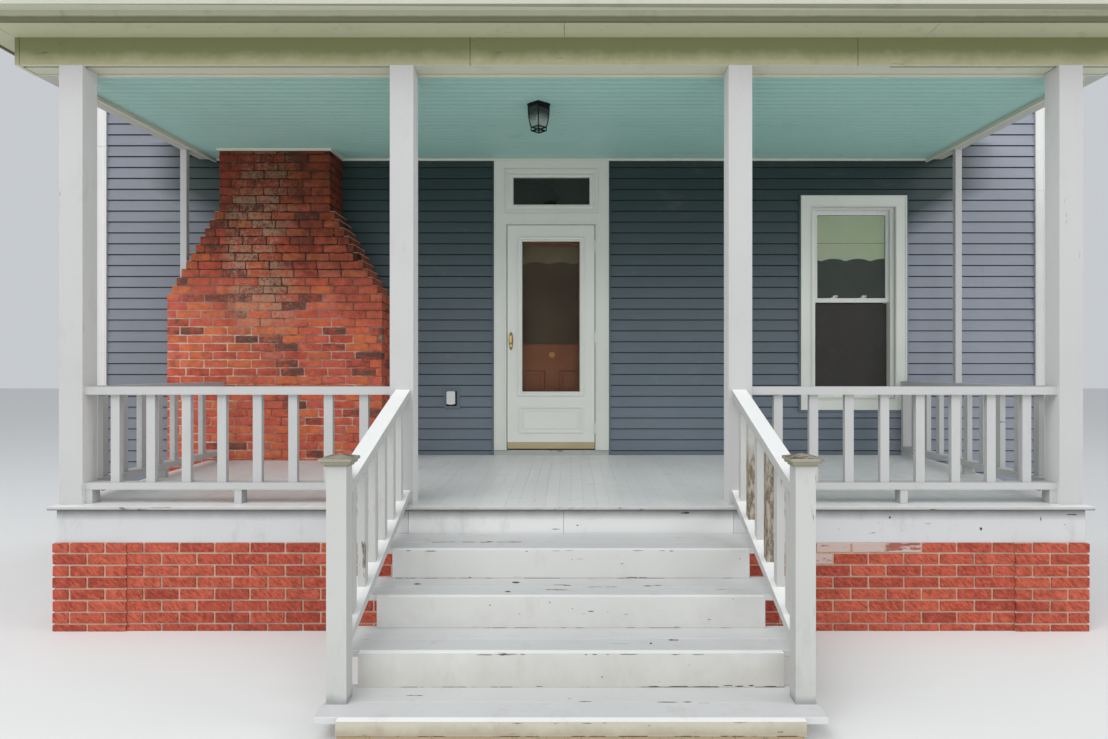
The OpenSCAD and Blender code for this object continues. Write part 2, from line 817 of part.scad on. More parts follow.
// Steps
module stair_stringers() {
    bearing = [for (i = [0:treads - 1]) each [
        [i == 0 ? skirt_d : riser_d[i - 1] - riser_t, tread_z[i] - tread_t],
        [riser_d[i] - riser_t, tread_z[i] - tread_t]
    ]];
    heel = found_d + pier_proud + seat;
    foot = [
        [stair_front_d - riser_t, 0], [riser_d[treads - 2], 0],
        [heel, found_h / 2], [heel, found_h], [skirt_d, found_h]
    ];
    color("burlywood") for (x = [-riser_w / 2 + 20, -19, riser_w / 2 - 58])
        along_x(x, x + 38, concat(bearing, foot));
}

module stair_risers() {
    color(white) for (i = [0:treads - 1])
        block(-riser_w / 2, riser_w / 2, riser_d[i] - riser_t, riser_d[i],
            i < treads - 1 ? tread_z[i + 1] : 0, tread_z[i]);
}

module tread(i) {
    back = i == 0 ? skirt_d : riser_d[i - 1] - riser_t;
    front = riser_d[i] - riser_t;
    half = riser_w / 2 + tread_past;
    block(-half, half, back, front - board_w - board_gap, tread_z[i] - tread_t, tread_z[i]);
    block(-half, half, front - board_w, front, tread_z[i] - tread_t, tread_z[i]);
}

module stair_treads() {
    color("#c3c5c8") for (i = [0:treads - 1]) tread(i);
}

// Posts
module porch_post(x0) {
    along_x(x0, x0 + post_s, [
        [post_back_d, deck_z(post_back_d) + seat], [post_front_d, deck_z(post_front_d) + seat],
        [post_front_d, beam_z], [post_back_d, beam_z]
    ]);
}

module porch_posts() {
    color(white) both_sides() {
        porch_post(corner_in);
        porch_post(step_in);
    }
}

module roof_props() {
    x0 = beam_end - prop_w - 1;
    back = prop_d - prop_t;
    top = [[prop_d, ceil_z(prop_d) - 2], [back, ceil_z(back) - 2]];
    color(white) {
        along_x(x0, x0 + prop_w, concat([[back, 0], [prop_d, 0]], top));
        difference() {
            along_x(-x0 - prop_w, -x0, concat([[back, shoulder_low], [prop_d, shoulder_low]], top));
            chimney_shape();
        }
    }
}

// Beams and ceiling
module front_beam() {
    color(white) block(-beam_end, beam_end, beam_back_d, post_front_d, beam_z, beam_top);
}

module side_beams() {
    color(white) both_sides() along_x(ceiling_x, beam_end, [
        [0, ceil_z(0) - 2], [beam_back_d, ceil_z(beam_back_d) - 2],
        [beam_back_d, beam_top], [0, beam_top]
    ]);
}

module ceiling() {
    color("#7fa79c") difference() {
        along_x(-ceiling_x, ceiling_x, [
            [0, ceil_z(0)], [beam_back_d, ceil_z(beam_back_d)],
            [beam_back_d, ceil_z(beam_back_d) + ceiling_t], [0, ceil_z(0) + ceiling_t]
        ]);
        chimney_hole(ceiling_z - 50, ceiling_z + 200, stack_w / 2);
    }
}

module ceiling_trim() {
    inner = ceiling_x - trim_t;
    front = beam_back_d - trim_t;
    chimney_edge_d = chimney_d + trim_t;
    color(white) {
        along_x(-ceiling_x, ceiling_x, [
            [front, ceil_z(front) - seat], [beam_back_d, ceil_z(beam_back_d) - seat],
            [beam_back_d, beam_z - 4], [front, beam_z - 4]
        ]);
        both_sides() along_x(inner, ceiling_x, [
            [0, ceil_z(0) - seat], [front - joint, ceil_z(front) - seat],
            [front - joint, ceil_z(front) - trim_drop], [0, ceil_z(0) - trim_drop]
        ]);
        for (span = [[chimney_x + stack_w / 2 + stack_clear, inner - joint],
                     [-inner + joint, chimney_x - stack_w / 2 - stack_clear]])
            along_x(span[0], span[1], [
                [0, ceil_z(0) - seat], [trim_t, ceil_z(trim_t) - seat],
                [trim_t, ceil_z(trim_t) - trim_t], [0, ceil_z(0) - trim_t]
            ]);
        along_x(chimney_x - stack_w / 2 - trim_t, chimney_x + stack_w / 2 + trim_t, [
            [chimney_d, ceil_z(chimney_d) - seat], [chimney_edge_d, ceil_z(chimney_edge_d) - seat],
            [chimney_edge_d, ceil_z(chimney_edge_d) - trim_t], [chimney_d, ceil_z(chimney_d) - trim_t]
        ]);
        for (x = [chimney_x - stack_w / 2 - trim_t, chimney_x + stack_w / 2])
            along_x(x, x + trim_t, [
                [0, ceil_z(0) - seat], [chimney_edge_d, ceil_z(chimney_edge_d) - seat],
                [chimney_edge_d, ceil_z(chimney_edge_d) - trim_t], [0, ceil_z(0) - trim_t]
            ]);
    }
}

module eave_soffit() {
    color(white) {
        block(-beam_end + joint, beam_end - joint, post_front_d, fascia_d, soffit_z, beam_top);
        both_sides() block(beam_end, fascia_x, 0, fascia_d, soffit_z, beam_top);
    }
}

module eave_fascia() {
    reach = fascia_d + fascia_t;
    color(white) {
        along_x(-fascia_x - fascia_t, fascia_x + fascia_t, [
            [fascia_d, fascia_low], [reach, fascia_low],
            [reach, roof_z(drip)], [fascia_d, roof_z(drip)]
        ]);
        both_sides() along_y(0, fascia_d - joint, [
            [fascia_x, fascia_low], [fascia_x + fascia_t, fascia_low],
            [fascia_x + fascia_t, roof_z(drip)], [fascia_x, roof_z(drip)]
        ]);
    }
}

// Section of the gutter from its back edge outwards, as [distance out, height] points
gutter_base = gutter_w * 0.66;
gutter_low = fascia_top - gutter_h - 8;
function gutter_section(s) = [
    [s, gutter_low + s], [gutter_base - s / 2, gutter_low + s],
    [gutter_base + 6 - s, gutter_low + gutter_h * 0.45],
    [gutter_w - s, gutter_low + gutter_h * 0.75], [gutter_w - s, gutter_low + gutter_h + s],
    [s, gutter_low + gutter_h + s]
];

gutter_x = fascia_x + fascia_t;
gutter_d = fascia_d + fascia_t;
gutter_reach = gutter_w + 10;

module gutter_front() {
    end = gutter_x + gutter_reach;
    color(white) intersection() {
        difference() {
            along_x(-end, end, [for (p = gutter_section(0)) [gutter_d + p[0], p[1]]]);
            along_x(-end - 1, end + 1, [for (p = gutter_section(gutter_t)) [gutter_d + p[0], p[1]]]);
        }
        plan_prism([[-gutter_x, gutter_d], [gutter_x, gutter_d],
            [end, gutter_d + gutter_reach], [-end, gutter_d + gutter_reach]]);
    }
}

module gutter_sides() {
    end = gutter_d + gutter_reach;
    color(white) both_sides() intersection() {
        difference() {
            along_y(0, end, [for (p = gutter_section(0)) [gutter_x + p[0], p[1]]]);
            along_y(gutter_t, end + 1, [for (p = gutter_section(gutter_t)) [gutter_x + p[0], p[1]]]);
        }
        plan_prism([[gutter_x, 0], [gutter_x + gutter_reach, 0],
            [gutter_x + gutter_reach, end], [gutter_x, gutter_d]]);
    }
}

// Hipped roof
module plan_prism(points) {
    translate([0, 0, beam_z]) linear_extrude(wall_top)
        polygon([for (p = points) [p[0], fy(p[1])]]);
}

module roof_front() {
    color("#5a5653") intersection() {
        along_x(-eave_x, eave_x, [
            [0, roof_z(eave_d)], [eave_d, roof_z(0)],
            [eave_d, roof_z(0) + roof_t], [0, roof_z(eave_d) + roof_t]
        ]);
        plan_prism([[-eave_x, eave_d], [eave_x, eave_d], [eave_x - eave_d, 0], [eave_d - eave_x, 0]]);
    }
}

module roof_sides() {
    color("#5a5653") difference() {
        both_sides() intersection() {
            along_y(0, eave_d, [
                [eave_x, roof_z(0)], [eave_x, roof_z(0) + roof_t],
                [eave_x - eave_d, roof_z(eave_d) + roof_t], [eave_x - eave_d, roof_z(eave_d)]
            ]);
            plan_prism([[eave_x, 0], [eave_x, eave_d - joint], [eave_x - eave_d + joint, 0]]);
        }
        chimney_hole(beam_top, wall_top, stack_w / 2);
    }
}

// Railings
module front_railing(x0, x1) {
    front = post_front_d - rail_inset;
    middle = front - rail_w / 2;
    pitch_x = (x1 - x0 - 2 * 175) / (front_balusters - 1);
    block(x0, x1, front - rail_w, front, rail_top - rail_h, rail_top);
    block(x0, x1, front - rail_w, front, low_rail_z, low_rail_z + low_rail_h);
    for (i = [0:front_balusters - 1])
        block(x0 + 175 + i * pitch_x - baluster_w / 2, x0 + 175 + i * pitch_x + baluster_w / 2,
            middle - baluster_t / 2, middle + baluster_t / 2,
            low_rail_z + low_rail_h - 1, rail_top - rail_h + 1);
    for (x = [x0, (x0 + x1 - foot_w) / 2, x1 - foot_w])
        along_x(x, x + foot_w, [
            [front - rail_w + 5, deck_z(front - rail_w + 5) + seat], [front - 5, deck_z(front - 5) + seat],
            [front - 5, low_rail_z + 1], [front - rail_w + 5, low_rail_z + 1]
        ]);
}

module front_railings() {
    color(white) both_sides() front_railing(step_in + post_s, corner_in);
}

module side_railing(d0, with_end) {
    middle = corner_out - post_s / 2;
    count = floor((post_back_d - d0 - side_pitch / 2) / side_pitch);
    block(middle - rail_w / 2, middle + rail_w / 2, d0, post_back_d, rail_top - rail_h, rail_top);
    block(middle - rail_w / 2, middle + rail_w / 2, d0, post_back_d, low_rail_z, low_rail_z + low_rail_h);
    for (i = [0:count - 1])
        block(middle - baluster_t / 2, middle + baluster_t / 2,
            post_back_d - 175 - i * side_pitch - baluster_w / 2,
            post_back_d - 175 - i * side_pitch + baluster_w / 2,
            low_rail_z + low_rail_h - 1, rail_top - rail_h + 1);
    for (d = [post_back_d - foot_w, (post_back_d + d0) / 2])
        along_x(middle - rail_w / 2 + 5, middle + rail_w / 2 - 5, [
            [d, deck_z(d) + seat], [d + foot_w, deck_z(d + foot_w) + seat],
            [d + foot_w, low_rail_z + 1], [d, low_rail_z + 1]
        ]);
    if (with_end)
        along_x(middle - 41, middle + 41, [
            [d0, deck_z(d0) + seat], [d0 + 40, deck_z(d0 + 40) + seat],
            [d0 + 40, rail_top - rail_h + 1], [d0, rail_top - rail_h + 1]
        ]);
}

module side_railings() {
    color(white) {
        side_railing(trim_proud, true);
        mirror([1, 0, 0]) side_railing(chimney_d, false);
    }
}

// Sloping bar of the stair railing between the porch post and the newel
module stair_bar(high, low, thick) {
    along_x(newel_out, newel_out + newel_s, [
        [post_front_d, high - thick], [newel_back_d, low - thick],
        [newel_back_d, low], [post_front_d, high]
    ]);
}

module stair_railing() {
    length = newel_back_d - post_front_d;
    spacing = length / (stair_balusters + 0.2);
    middle = newel_out + newel_s / 2;
    stair_bar(stair_rail_high, stair_rail_low, rail_h);
    stair_bar(stair_low_high, stair_low_low, low_rail_h + 3);
    for (i = [0:stair_balusters - 1]) {
        back = post_front_d + 75 + i * spacing;
        front = back + baluster_w;
        along_x(middle - baluster_t / 2, middle + baluster_t / 2, [
            [back, stair_z(back, stair_low_high, stair_low_low) - 1],
            [front, stair_z(front, stair_low_high, stair_low_low) - 1],
            [front, stair_z(front, stair_rail_high, stair_rail_low) - rail_h + 1],
            [back, stair_z(back, stair_rail_high, stair_rail_low) - rail_h + 1]
        ]);
    }
}

module stair_railings() {
    color(white) both_sides() stair_railing();
}

module newel_posts() {
    color(white) both_sides() block(newel_out, newel_out + newel_s,
        newel_back_d, newel_back_d + newel_s, low_tread, low_tread + newel_h);
}

module newel_caps() {
    base = low_tread + newel_h;
    neck = newel_s + 40;
    slab = 13;
    peak = 18;
    color("#b5a795") both_sides()
        translate([newel_out + newel_s / 2, fy(newel_back_d + newel_s / 2), base]) {
            translate([-newel_s / 2 - 8, -newel_s / 2 - 8, 0]) cube([newel_s + 16, newel_s + 16, 12]);
            translate([-neck / 2, -neck / 2, 11]) cube([neck, neck, 14]);
            translate([-cap_w / 2, -cap_w / 2, 24]) cube([cap_w, cap_w, slab]);
            translate([0, 0, 24 + slab]) rotate(45)
                cylinder(r1 = cap_w / sqrt(2), r2 = 2, h = peak, $fn = 4);
        }
}

// Ceiling lantern, set cornerwise to the house
module lantern_place() {
    translate([lantern_x, fy(lantern_d), ceil_z(lantern_d)]) children();
}

// Tapered square prism with its corners on the X and Y axes
module taper(z0, z1, side0, side1) {
    translate([0, 0, z0]) cylinder(r1 = side0 / sqrt(2), r2 = side1 / sqrt(2), h = z1 - z0, $fn = 4);
}

lantern_foot = -lantern_h + 22;
lantern_shade = -42;

module lantern_frame() {
    low_s = lantern_s * 0.68;
    color("#1d1d1d") difference() {
        lantern_place() lantern_cage(low_s);
        along_x(lantern_x - lantern_s, lantern_x + lantern_s, [
            [lantern_d - lantern_s, ceil_z(lantern_d - lantern_s) - seat],
            [lantern_d + lantern_s, ceil_z(lantern_d + lantern_s) - seat],
            [lantern_d + lantern_s, ceil_z(0) + 50], [lantern_d - lantern_s, ceil_z(0) + 50]
        ]);
    }
}

module lantern_cage(low_s) {
    union() {
        taper(-8, 8, lantern_s * 0.85, lantern_s * 0.85);
        taper(lantern_shade, -7, lantern_s, lantern_s * 0.8);
        taper(lantern_foot, lantern_foot + 12, low_s, low_s);
        difference() {
            taper(lantern_foot + 11, lantern_shade + 1, low_s, lantern_s * 0.93);
            taper(lantern_foot + 10, lantern_shade + 2, low_s - 12, lantern_s * 0.93 - 12);
            for (turn = [45, 135]) rotate(turn)
                translate([-lantern_s, -low_s / 2 + 9, lantern_foot + 12])
                    cube([2 * lantern_s, low_s - 18, lantern_shade - lantern_foot - 12]);
        }
        translate([0, 0, -lantern_h]) cylinder(r = 7, h = 23);
    }
}

module lantern_glass() {
    low_s = lantern_s * 0.68 - 13;
    high_s = lantern_s * 0.93 - 13;
    color("#c8ccca") lantern_place() difference() {
        taper(lantern_foot + 12.3, lantern_shade - 0.3, low_s, high_s);
        taper(lantern_foot + 15, lantern_shade - 3, low_s - 5, high_s - 5);
    }
}

house_foundation();
wall_left();
wall_middle();
wall_right();
wall_at_door();
wall_at_window();
siding();
house_corner_posts();
chimney();
door_casing();
door_jambs();
door_sill();
transom_frame();
transom_glass();
storm_door_slab();
storm_door_glass();
storm_door_sweep();
storm_door_handle();
storm_door_knuckles();
front_door_leaf();
front_door_glass();
front_door_fittings();
front_door_knuckles();
hinge_pins();
window_casing();
window_frame();
window_sashes();
window_glass();
outlet_cover();
foundation_walls();
foundation_piers();
deck_joists();
deck_skirt();
deck_floor();
stair_stringers();
stair_risers();
stair_treads();
porch_posts();
roof_props();
front_beam();
side_beams();
ceiling();
ceiling_trim();
eave_soffit();
eave_fascia();
gutter_front();
gutter_sides();
roof_front();
roof_sides();
front_railings();
side_railings();
stair_railings();
newel_posts();
newel_caps();
lantern_frame();
lantern_glass();
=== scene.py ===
"""Looks of the front porch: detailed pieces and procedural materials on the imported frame."""

from __future__ import annotations

import logging
import math
import random
from dataclasses import dataclass
from enum import Enum
from functools import cache
from typing import Callable, Iterable, Sequence

import bmesh
import bpy
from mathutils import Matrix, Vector

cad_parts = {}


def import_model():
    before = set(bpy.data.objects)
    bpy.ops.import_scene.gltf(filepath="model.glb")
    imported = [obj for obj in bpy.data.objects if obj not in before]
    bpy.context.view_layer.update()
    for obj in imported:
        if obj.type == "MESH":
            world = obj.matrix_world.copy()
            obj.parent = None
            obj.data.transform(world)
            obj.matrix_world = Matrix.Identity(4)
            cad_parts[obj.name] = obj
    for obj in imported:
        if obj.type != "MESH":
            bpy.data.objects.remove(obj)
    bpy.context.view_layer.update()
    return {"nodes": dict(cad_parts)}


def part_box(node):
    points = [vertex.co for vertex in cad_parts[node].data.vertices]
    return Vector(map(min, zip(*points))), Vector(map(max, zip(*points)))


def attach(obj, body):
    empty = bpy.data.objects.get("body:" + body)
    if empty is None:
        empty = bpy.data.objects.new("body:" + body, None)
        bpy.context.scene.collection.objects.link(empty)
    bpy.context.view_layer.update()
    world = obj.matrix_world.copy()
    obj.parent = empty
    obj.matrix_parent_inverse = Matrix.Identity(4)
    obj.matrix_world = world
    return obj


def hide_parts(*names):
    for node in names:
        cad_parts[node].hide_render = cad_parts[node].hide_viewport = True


LOG = logging.getLogger("porch")
Pair = tuple[float, float]
Triple = tuple[float, float, float]
Quad = tuple[float, float, float, float]
Colour = Triple
Outline = tuple[Pair, ...]
Spot = Sequence[float]
Material = bpy.types.Material
Socket = bpy.types.NodeSocket
Value = float | Colour | Socket

# CAD bodies that the pieces ride on
PORCH = "porch"
STORM_DOOR = "storm_door"
FRONT_DOOR = "front_door"

# Sizes in metres that several sub-assemblies share, and the number of the shoulder's steps
DECK_BOARD = 0.022
CEILING_BOARD = 0.02
STACK = 0.489
SHOULDER_FOOT = 2.2
SHOULDER_RISE = 0.8
SHOULDER_STEPS = 11


class Axis(Enum):
    """Axis of the shared frame."""

    X = 0
    Y = 1
    Z = 2


class Side(Enum):
    """Side of a block, seen from the front."""

    FRONT = "front"
    BACK = "back"
    LEFT = "left"
    RIGHT = "right"


class Surface(Enum):
    """Surface that a chip in the paint is on."""

    SKIRT = "skirt"
    TREAD = "tread"
    RISER = "riser"


@dataclass(frozen=True)
class Plan:
    """Main heights and depths of the porch, in metres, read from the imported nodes.

    Depths are counted outwards from the face of the siding, as in the part's source.
    """

    wall_y: float
    deck_front: float
    deck_back: float
    deck_depth: float
    ceiling_front: float
    ceiling_back: float
    ceiling_depth: float

    @classmethod
    def read(cls) -> Plan:
        """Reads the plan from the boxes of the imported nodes.

        Returns:
            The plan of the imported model.
        """
        wall_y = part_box("siding")[0][1]
        deck_low, deck_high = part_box("deck_floor")
        ceiling_low, ceiling_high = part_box("ceiling")
        return cls(
            wall_y=wall_y,
            deck_front=deck_low[2] + DECK_BOARD,
            deck_back=deck_high[2],
            deck_depth=wall_y - deck_low[1],
            ceiling_front=ceiling_low[2],
            ceiling_back=ceiling_high[2] - CEILING_BOARD,
            ceiling_depth=wall_y - ceiling_low[1],
        )

    def y(self, depth: float) -> float:
        """Y of a depth counted outwards from the siding."""
        return self.wall_y - depth

    def depth(self, y: float) -> float:
        """Depth of a Y, counted outwards from the siding."""
        return self.wall_y - y

    def deck(self, depth: float) -> float:
        """Height of the deck's surface at a depth."""
        fall = self.deck_back - self.deck_front
        return self.deck_front + fall * (1 - depth / self.deck_depth)

    def ceiling(self, depth: float) -> float:
        """Height of the ceiling's underside at a depth."""
        rise = self.ceiling_back - self.ceiling_front
        return self.ceiling_front + rise * (1 - depth / self.ceiling_depth)


@dataclass
class Draft:
    """Faces of one piece, gathered before it becomes an object."""

    name: str
    seed: int

    def __post_init__(self) -> None:
        """Opens an empty mesh with a tone for each face."""
        self.mesh = bmesh.new()
        self.tone = self.mesh.faces.layers.float.new("tone")
        self.rng = random.Random(self.seed)

    def face(self, points: Sequence[Spot], tone: float) -> None:
        """Adds one face, given its corners in order and the tone for its material."""
        face = self.mesh.faces.new([self.mesh.verts.new(p) for p in points])
        face[self.tone] = tone

    def solid(
        self, rings: Sequence[Sequence[Spot]], tone: float = 0.5, slot: int = 0, closed: bool = False
    ) -> None:
        """Adds a skin over rings of points, with its own vertices.

        Args:
            rings: Rings with the same number of points each.
            tone: Value for the material.
            slot: Index of the material slot.
            closed: Joins the last ring to the first instead of capping both.
        """
        verts = [[self.mesh.verts.new(p) for p in ring] for ring in rings]
        count = len(verts[0])
        pairs = list(zip(verts, verts[1:]))
        if closed:
            pairs.append((verts[-1], verts[0]))
        faces = []
        for low, high in pairs:
            for i in range(count):
                j = (i + 1) % count
                faces.append(self.mesh.faces.new((low[i], low[j], high[j], high[i])))
        if not closed:
            faces.append(self.mesh.faces.new(list(reversed(verts[0]))))
            faces.append(self.mesh.faces.new(verts[-1]))
        for face in faces:
            face[self.tone] = tone
            face.material_index = slot

    def box(
        self, low: Spot, high: Spot, tone: float | None = None, slot: int = 0, jitter: float = 0.0
    ) -> None:
        """Adds a box between two corners.

        Args:
            low: Lowest corner.
            high: Highest corner.
            tone: Value for the material, or None for a random one.
            slot: Index of the material slot.
            jitter: Largest random shift of each corner.
        """
        if tone is None:
            tone = self.rng.random()
        rings = []
        for z in (low[2], high[2]):
            ring = [(low[0], low[1], z), (high[0], low[1], z), (high[0], high[1], z), (low[0], high[1], z)]
            if jitter:
                ring = [[v + self.rng.uniform(-jitter, jitter) for v in spot] for spot in ring]
            rings.append(ring)
        self.solid(rings, tone, slot)

    def prism(self, points: Sequence[Pair], start: float, end: float, tone: float | None = None) -> None:
        """Carries an outline along X.

        Args:
            points: Outline in Y and Z.
            start: X where it starts.
            end: X where it ends.
            tone: Value for the material, or None for a random one.
        """
        if tone is None:
            tone = self.rng.random()
        self.solid([[(x, y, z) for y, z in points] for x in (start, end)], tone)

    def moulding(self, low: Pair, high: Pair, y: float, profile: Sequence[Pair]) -> None:
        """Sweeps a profile round a rectangle in the XZ plane, with mitred corners.

        Args:
            low: Lowest X and Z of the rectangle's outer edge.
            high: Highest X and Z of the rectangle's outer edge.
            y: Plane that the profile stands on, facing -Y.
            profile: Closed outline of (inset, height over the plane) points.
        """
        rings = []
        for right, upper in ((0, 0), (1, 0), (1, 1), (0, 1)):
            ring = []
            for inset, proud in profile:
                x = high[0] - inset if right else low[0] + inset
                z = high[1] - inset if upper else low[1] + inset
                ring.append((x, y - proud, z))
            rings.append(ring)
        self.solid(rings, closed=True)

    def lathe(self, centre: Spot, axis: Axis, profile: Sequence[Pair], sides: int) -> None:
        """Turns a profile round an axis.

        Args:
            centre: Pair that the profile's positions count from.
            axis: Axis of the turning.
            profile: (position along the axis, radius) points.
            sides: Number of sides.
        """
        rings = []
        for along, radius in profile:
            ring = []
            for k in range(sides):
                turn = 2 * math.pi * k / sides
                spot = [radius * math.cos(turn), radius * math.sin(turn)]
                spot.insert(axis.value, along)
                ring.append([c + s for c, s in zip(centre, spot)])
            rings.append(ring)
        self.solid(rings)

    def repaint(self, level: float, reach: float, slot: int) -> None:
        """Moves the level faces near a height to another slot.

        Args:
            level: The height.
            reach: How far from it a face may be.
            slot: Index of the material slot.
        """
        for face in self.mesh.faces:
            face.normal_update()
            if abs(face.normal.z) > 0.9 and abs(face.calc_center_median().z - level) < reach:
                face.material_index = slot

    def finish(
        self,
        finishes: Sequence[str],
        replaces: Sequence[str] = (),
        slot: str = "",
        bevel: float = 0.0,
        segments: int = 2,
        body: str = PORCH,
        smooth: bool = False,
    ) -> bpy.types.Object:
        """Makes the object, gives it its materials and lets it ride on a body.

        Args:
            finishes: Keys in FINISHES of its material slots.
            replaces: CAD nodes that it stands for.
            slot: Material slot of the record; not used.
            bevel: Width of the rounded edges.
            segments: Segments of the rounded edges.
            body: CAD body that it rides on.
            smooth: Shades the faces smoothly, apart from sharp edges.

        Returns:
            The new object.
        """
        bmesh.ops.recalc_face_normals(self.mesh, faces=self.mesh.faces)
        data = bpy.data.meshes.new(self.name)
        self.mesh.to_mesh(data)
        self.mesh.free()
        for finish in finishes:
            data.materials.append(look(finish))
        piece = bpy.data.objects.new(self.name, data)
        bpy.context.scene.collection.objects.link(piece)
        round_edges(piece, bevel, segments)
        if smooth:
            shade_smooth(piece)
        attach(piece, body)
        if replaces:
            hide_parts(*replaces)
        LOG.info("made %s", self.name)
        return piece


def round_edges(piece: bpy.types.Object, width: float, segments: int) -> None:
    """Rounds the edges of a piece that are sharper than 35 degrees, with a modifier.

    Args:
        piece: The object.
        width: Width of the rounding; 0 leaves the piece as it is.
        segments: Segments of the rounding.
    """
    if width <= 0:
        return
    bevel = piece.modifiers.new("rounding", "BEVEL")
    bevel.width = width
    bevel.segments = segments
    bevel.limit_method = "ANGLE"
    bevel.angle_limit = math.radians(35)


def shade_smooth(piece: bpy.types.Object) -> None:
    """Shades a piece smoothly but for edges sharper than 40 degrees.

    Args:
        piece: The object.
    """
    for polygon in piece.data.polygons:
        polygon.use_smooth = True
    mesh = bmesh.new()
    mesh.from_mesh(piece.data)
    for edge in mesh.edges:
        if len(edge.link_faces) == 2 and edge.calc_face_angle(0) > math.radians(40):
            edge.smooth = False
    mesh.to_mesh(piece.data)
    mesh.free()


@dataclass
class Graph:
    """A material's node tree, with short calls for the nodes used here."""

    name: str

    def __post_init__(self) -> None:
        """Makes the material with a shader of its own."""
        self.material = bpy.data.materials.new(self.name)
        self.material.use_nodes = True
        self.tree = self.material.node_tree
        self.tree.nodes.clear()
        self.shader = self.tree.nodes.new("ShaderNodeBsdfPrincipled")
        output = self.tree.nodes.new("ShaderNodeOutputMaterial")
        self.tree.links.new(self.shader.outputs[0], output.inputs["Surface"])
        self.place = self.tree.nodes.new("ShaderNodeTexCoord").outputs["Object"]

    def set(self, socket: Socket, value: Value | Spot) -> None:
        """Links or sets a socket.

        Args:
            socket: An input.
            value: The output to link it to, or its value.
        """
        if isinstance(value, Socket):
            self.tree.links.new(value, socket)
        elif isinstance(value, tuple) and len(value) == 3 and len(socket.default_value) == 4:
            socket.default_value = (*value, 1.0)
        else:
            socket.default_value = value

    def add(
        self, kind: str, output: int | str, inputs: dict[int | str, Value | Spot], **options: str
    ) -> Socket:
        """Adds a node.

        Args:
            kind: Its type, without the ShaderNode in front.
            output: Output that is wanted of it.
            inputs: Values of its inputs.
            options: Its settings.

        Returns:
            That output.
        """
        node = self.tree.nodes.new("ShaderNode" + kind)
        for name, option in options.items():
            setattr(node, name, option)
        for key, value in inputs.items():
            self.set(node.inputs[key], value)
        return node.outputs[output]

    def mapped(self, scale: Spot) -> Socket:
        """Object coordinates, stretched."""
        return self.add("Mapping", 0, {"Vector": self.place, "Scale": scale})

    def turned(self, scale: Spot, turn: Spot) -> Socket:
        """Object coordinates, turned and then stretched."""
        inputs = {0: self.place, "Scale": [1 / s for s in scale], "Rotation": turn}
        return self.add("Mapping", 0, inputs, vector_type="TEXTURE")

    def noise(self, scale: float, detail: float = 3, rough: float = 0.55, vector: Socket | None = None,
              distort: float = 0.0) -> Socket:
        """Noise from 0 to 1."""
        return self.add("TexNoise", "Fac", {"Vector": vector or self.place, "Scale": scale, "Detail": detail,
                                            "Roughness": rough, "Distortion": distort})

    def attribute(self, name: str) -> Socket:
        """Value of a face attribute."""
        return self.add("Attribute", "Fac", {}, attribute_name=name)

    def part(self, axis: Axis) -> Socket:
        """One object coordinate."""
        return self.add("SeparateXYZ", axis.value, {0: self.place})

    def band(self, value: Value, low: float, high: float, start: float = 0.0, end: Value = 1.0) -> Socket:
        """Value that goes from start to end as another goes from low to high."""
        return self.add("MapRange", "Result", dict(enumerate((value, low, high, start, end))))

    def calc(self, operation: str, a: Value, b: Value = 0.0) -> Socket:
        """Arithmetic on two values."""
        return self.add("Math", 0, {0: a, 1: b}, operation=operation)

    def mix(self, share: Value, a: Value, b: Value, blend: str = "MIX") -> Socket:
        """Mix of two colours."""
        return self.add("Mix", 2, {0: share, 6: a, 7: b}, data_type="RGBA", blend_type=blend)

    def over(
        self, base: Value, colour: Value, mask: Value, low: float, high: float, share: Value = 1.0
    ) -> Socket:
        """One colour over another, as a mask goes from low to high."""
        return self.mix(self.band(mask, low, high, 0.0, share), base, colour)

    def times(self, colour: Value, tint: Colour) -> Socket:
        """A colour times another."""
        return self.mix(1.0, colour, tint, "MULTIPLY")

    def ramp(self, value: Value, *stops: tuple[float, Colour]) -> Socket:
        """Colour from a value, through stops.

        Args:
            value: The value.
            stops: Value and colour of each stop.

        Returns:
            The colour.
        """
        colour = self.add("ValToRGB", 0, {0: value})
        elements = colour.node.color_ramp.elements
        while len(elements) < len(stops):
            elements.new(0.5)
        for element, (at, tint) in zip(elements, stops):
            element.position = at
            element.color = (*tint, 1.0)
        return colour

    def flecks(self, base: Value, colour: Colour, share: float) -> Socket:
        """Gritty pale flecks, in the same places on every material that has them.

        Args:
            base: Colour under them.
            colour: Colour of the flecks.
            share: How strongly they show.

        Returns:
            The new colour.
        """
        fine = self.band(self.noise(22, 9, 0.8, self.mapped((1.0, 1.0, 2.2))), 0.55, 0.63)
        wide = self.band(self.noise(2.6, 6, 0.7), 0.42, 0.6, 0.1, 1.0)
        return self.mix(self.calc("MULTIPLY", fine, self.calc("MULTIPLY", wide, share)), base, colour)

    def bump(self, height: Socket, strength: float, distance: float) -> None:
        """Adds a bump to the shader's normal, on top of those before.

        Args:
            height: Height of the bump.
            strength: Its strength.
            distance: Its depth in metres.
        """
        inputs = {"Strength": strength, "Distance": distance, "Height": height}
        normal = self.shader.inputs["Normal"]
        if normal.is_linked:
            inputs["Normal"] = normal.links[0].from_socket
        self.set(normal, self.add("Bump", 0, inputs))

    def done(self, colour: Value, roughness: Value, metallic: float = 0.0) -> Material:
        """Sets the main sockets and gives the material.

        Args:
            colour: Base colour.
            roughness: Roughness.
            metallic: 1 for bare metal.

        Returns:
            The material.
        """
        for name, value in (("Base Color", colour), ("Roughness", roughness), ("Metallic", metallic)):
            self.set(self.shader.inputs[name], value)
        return self.material


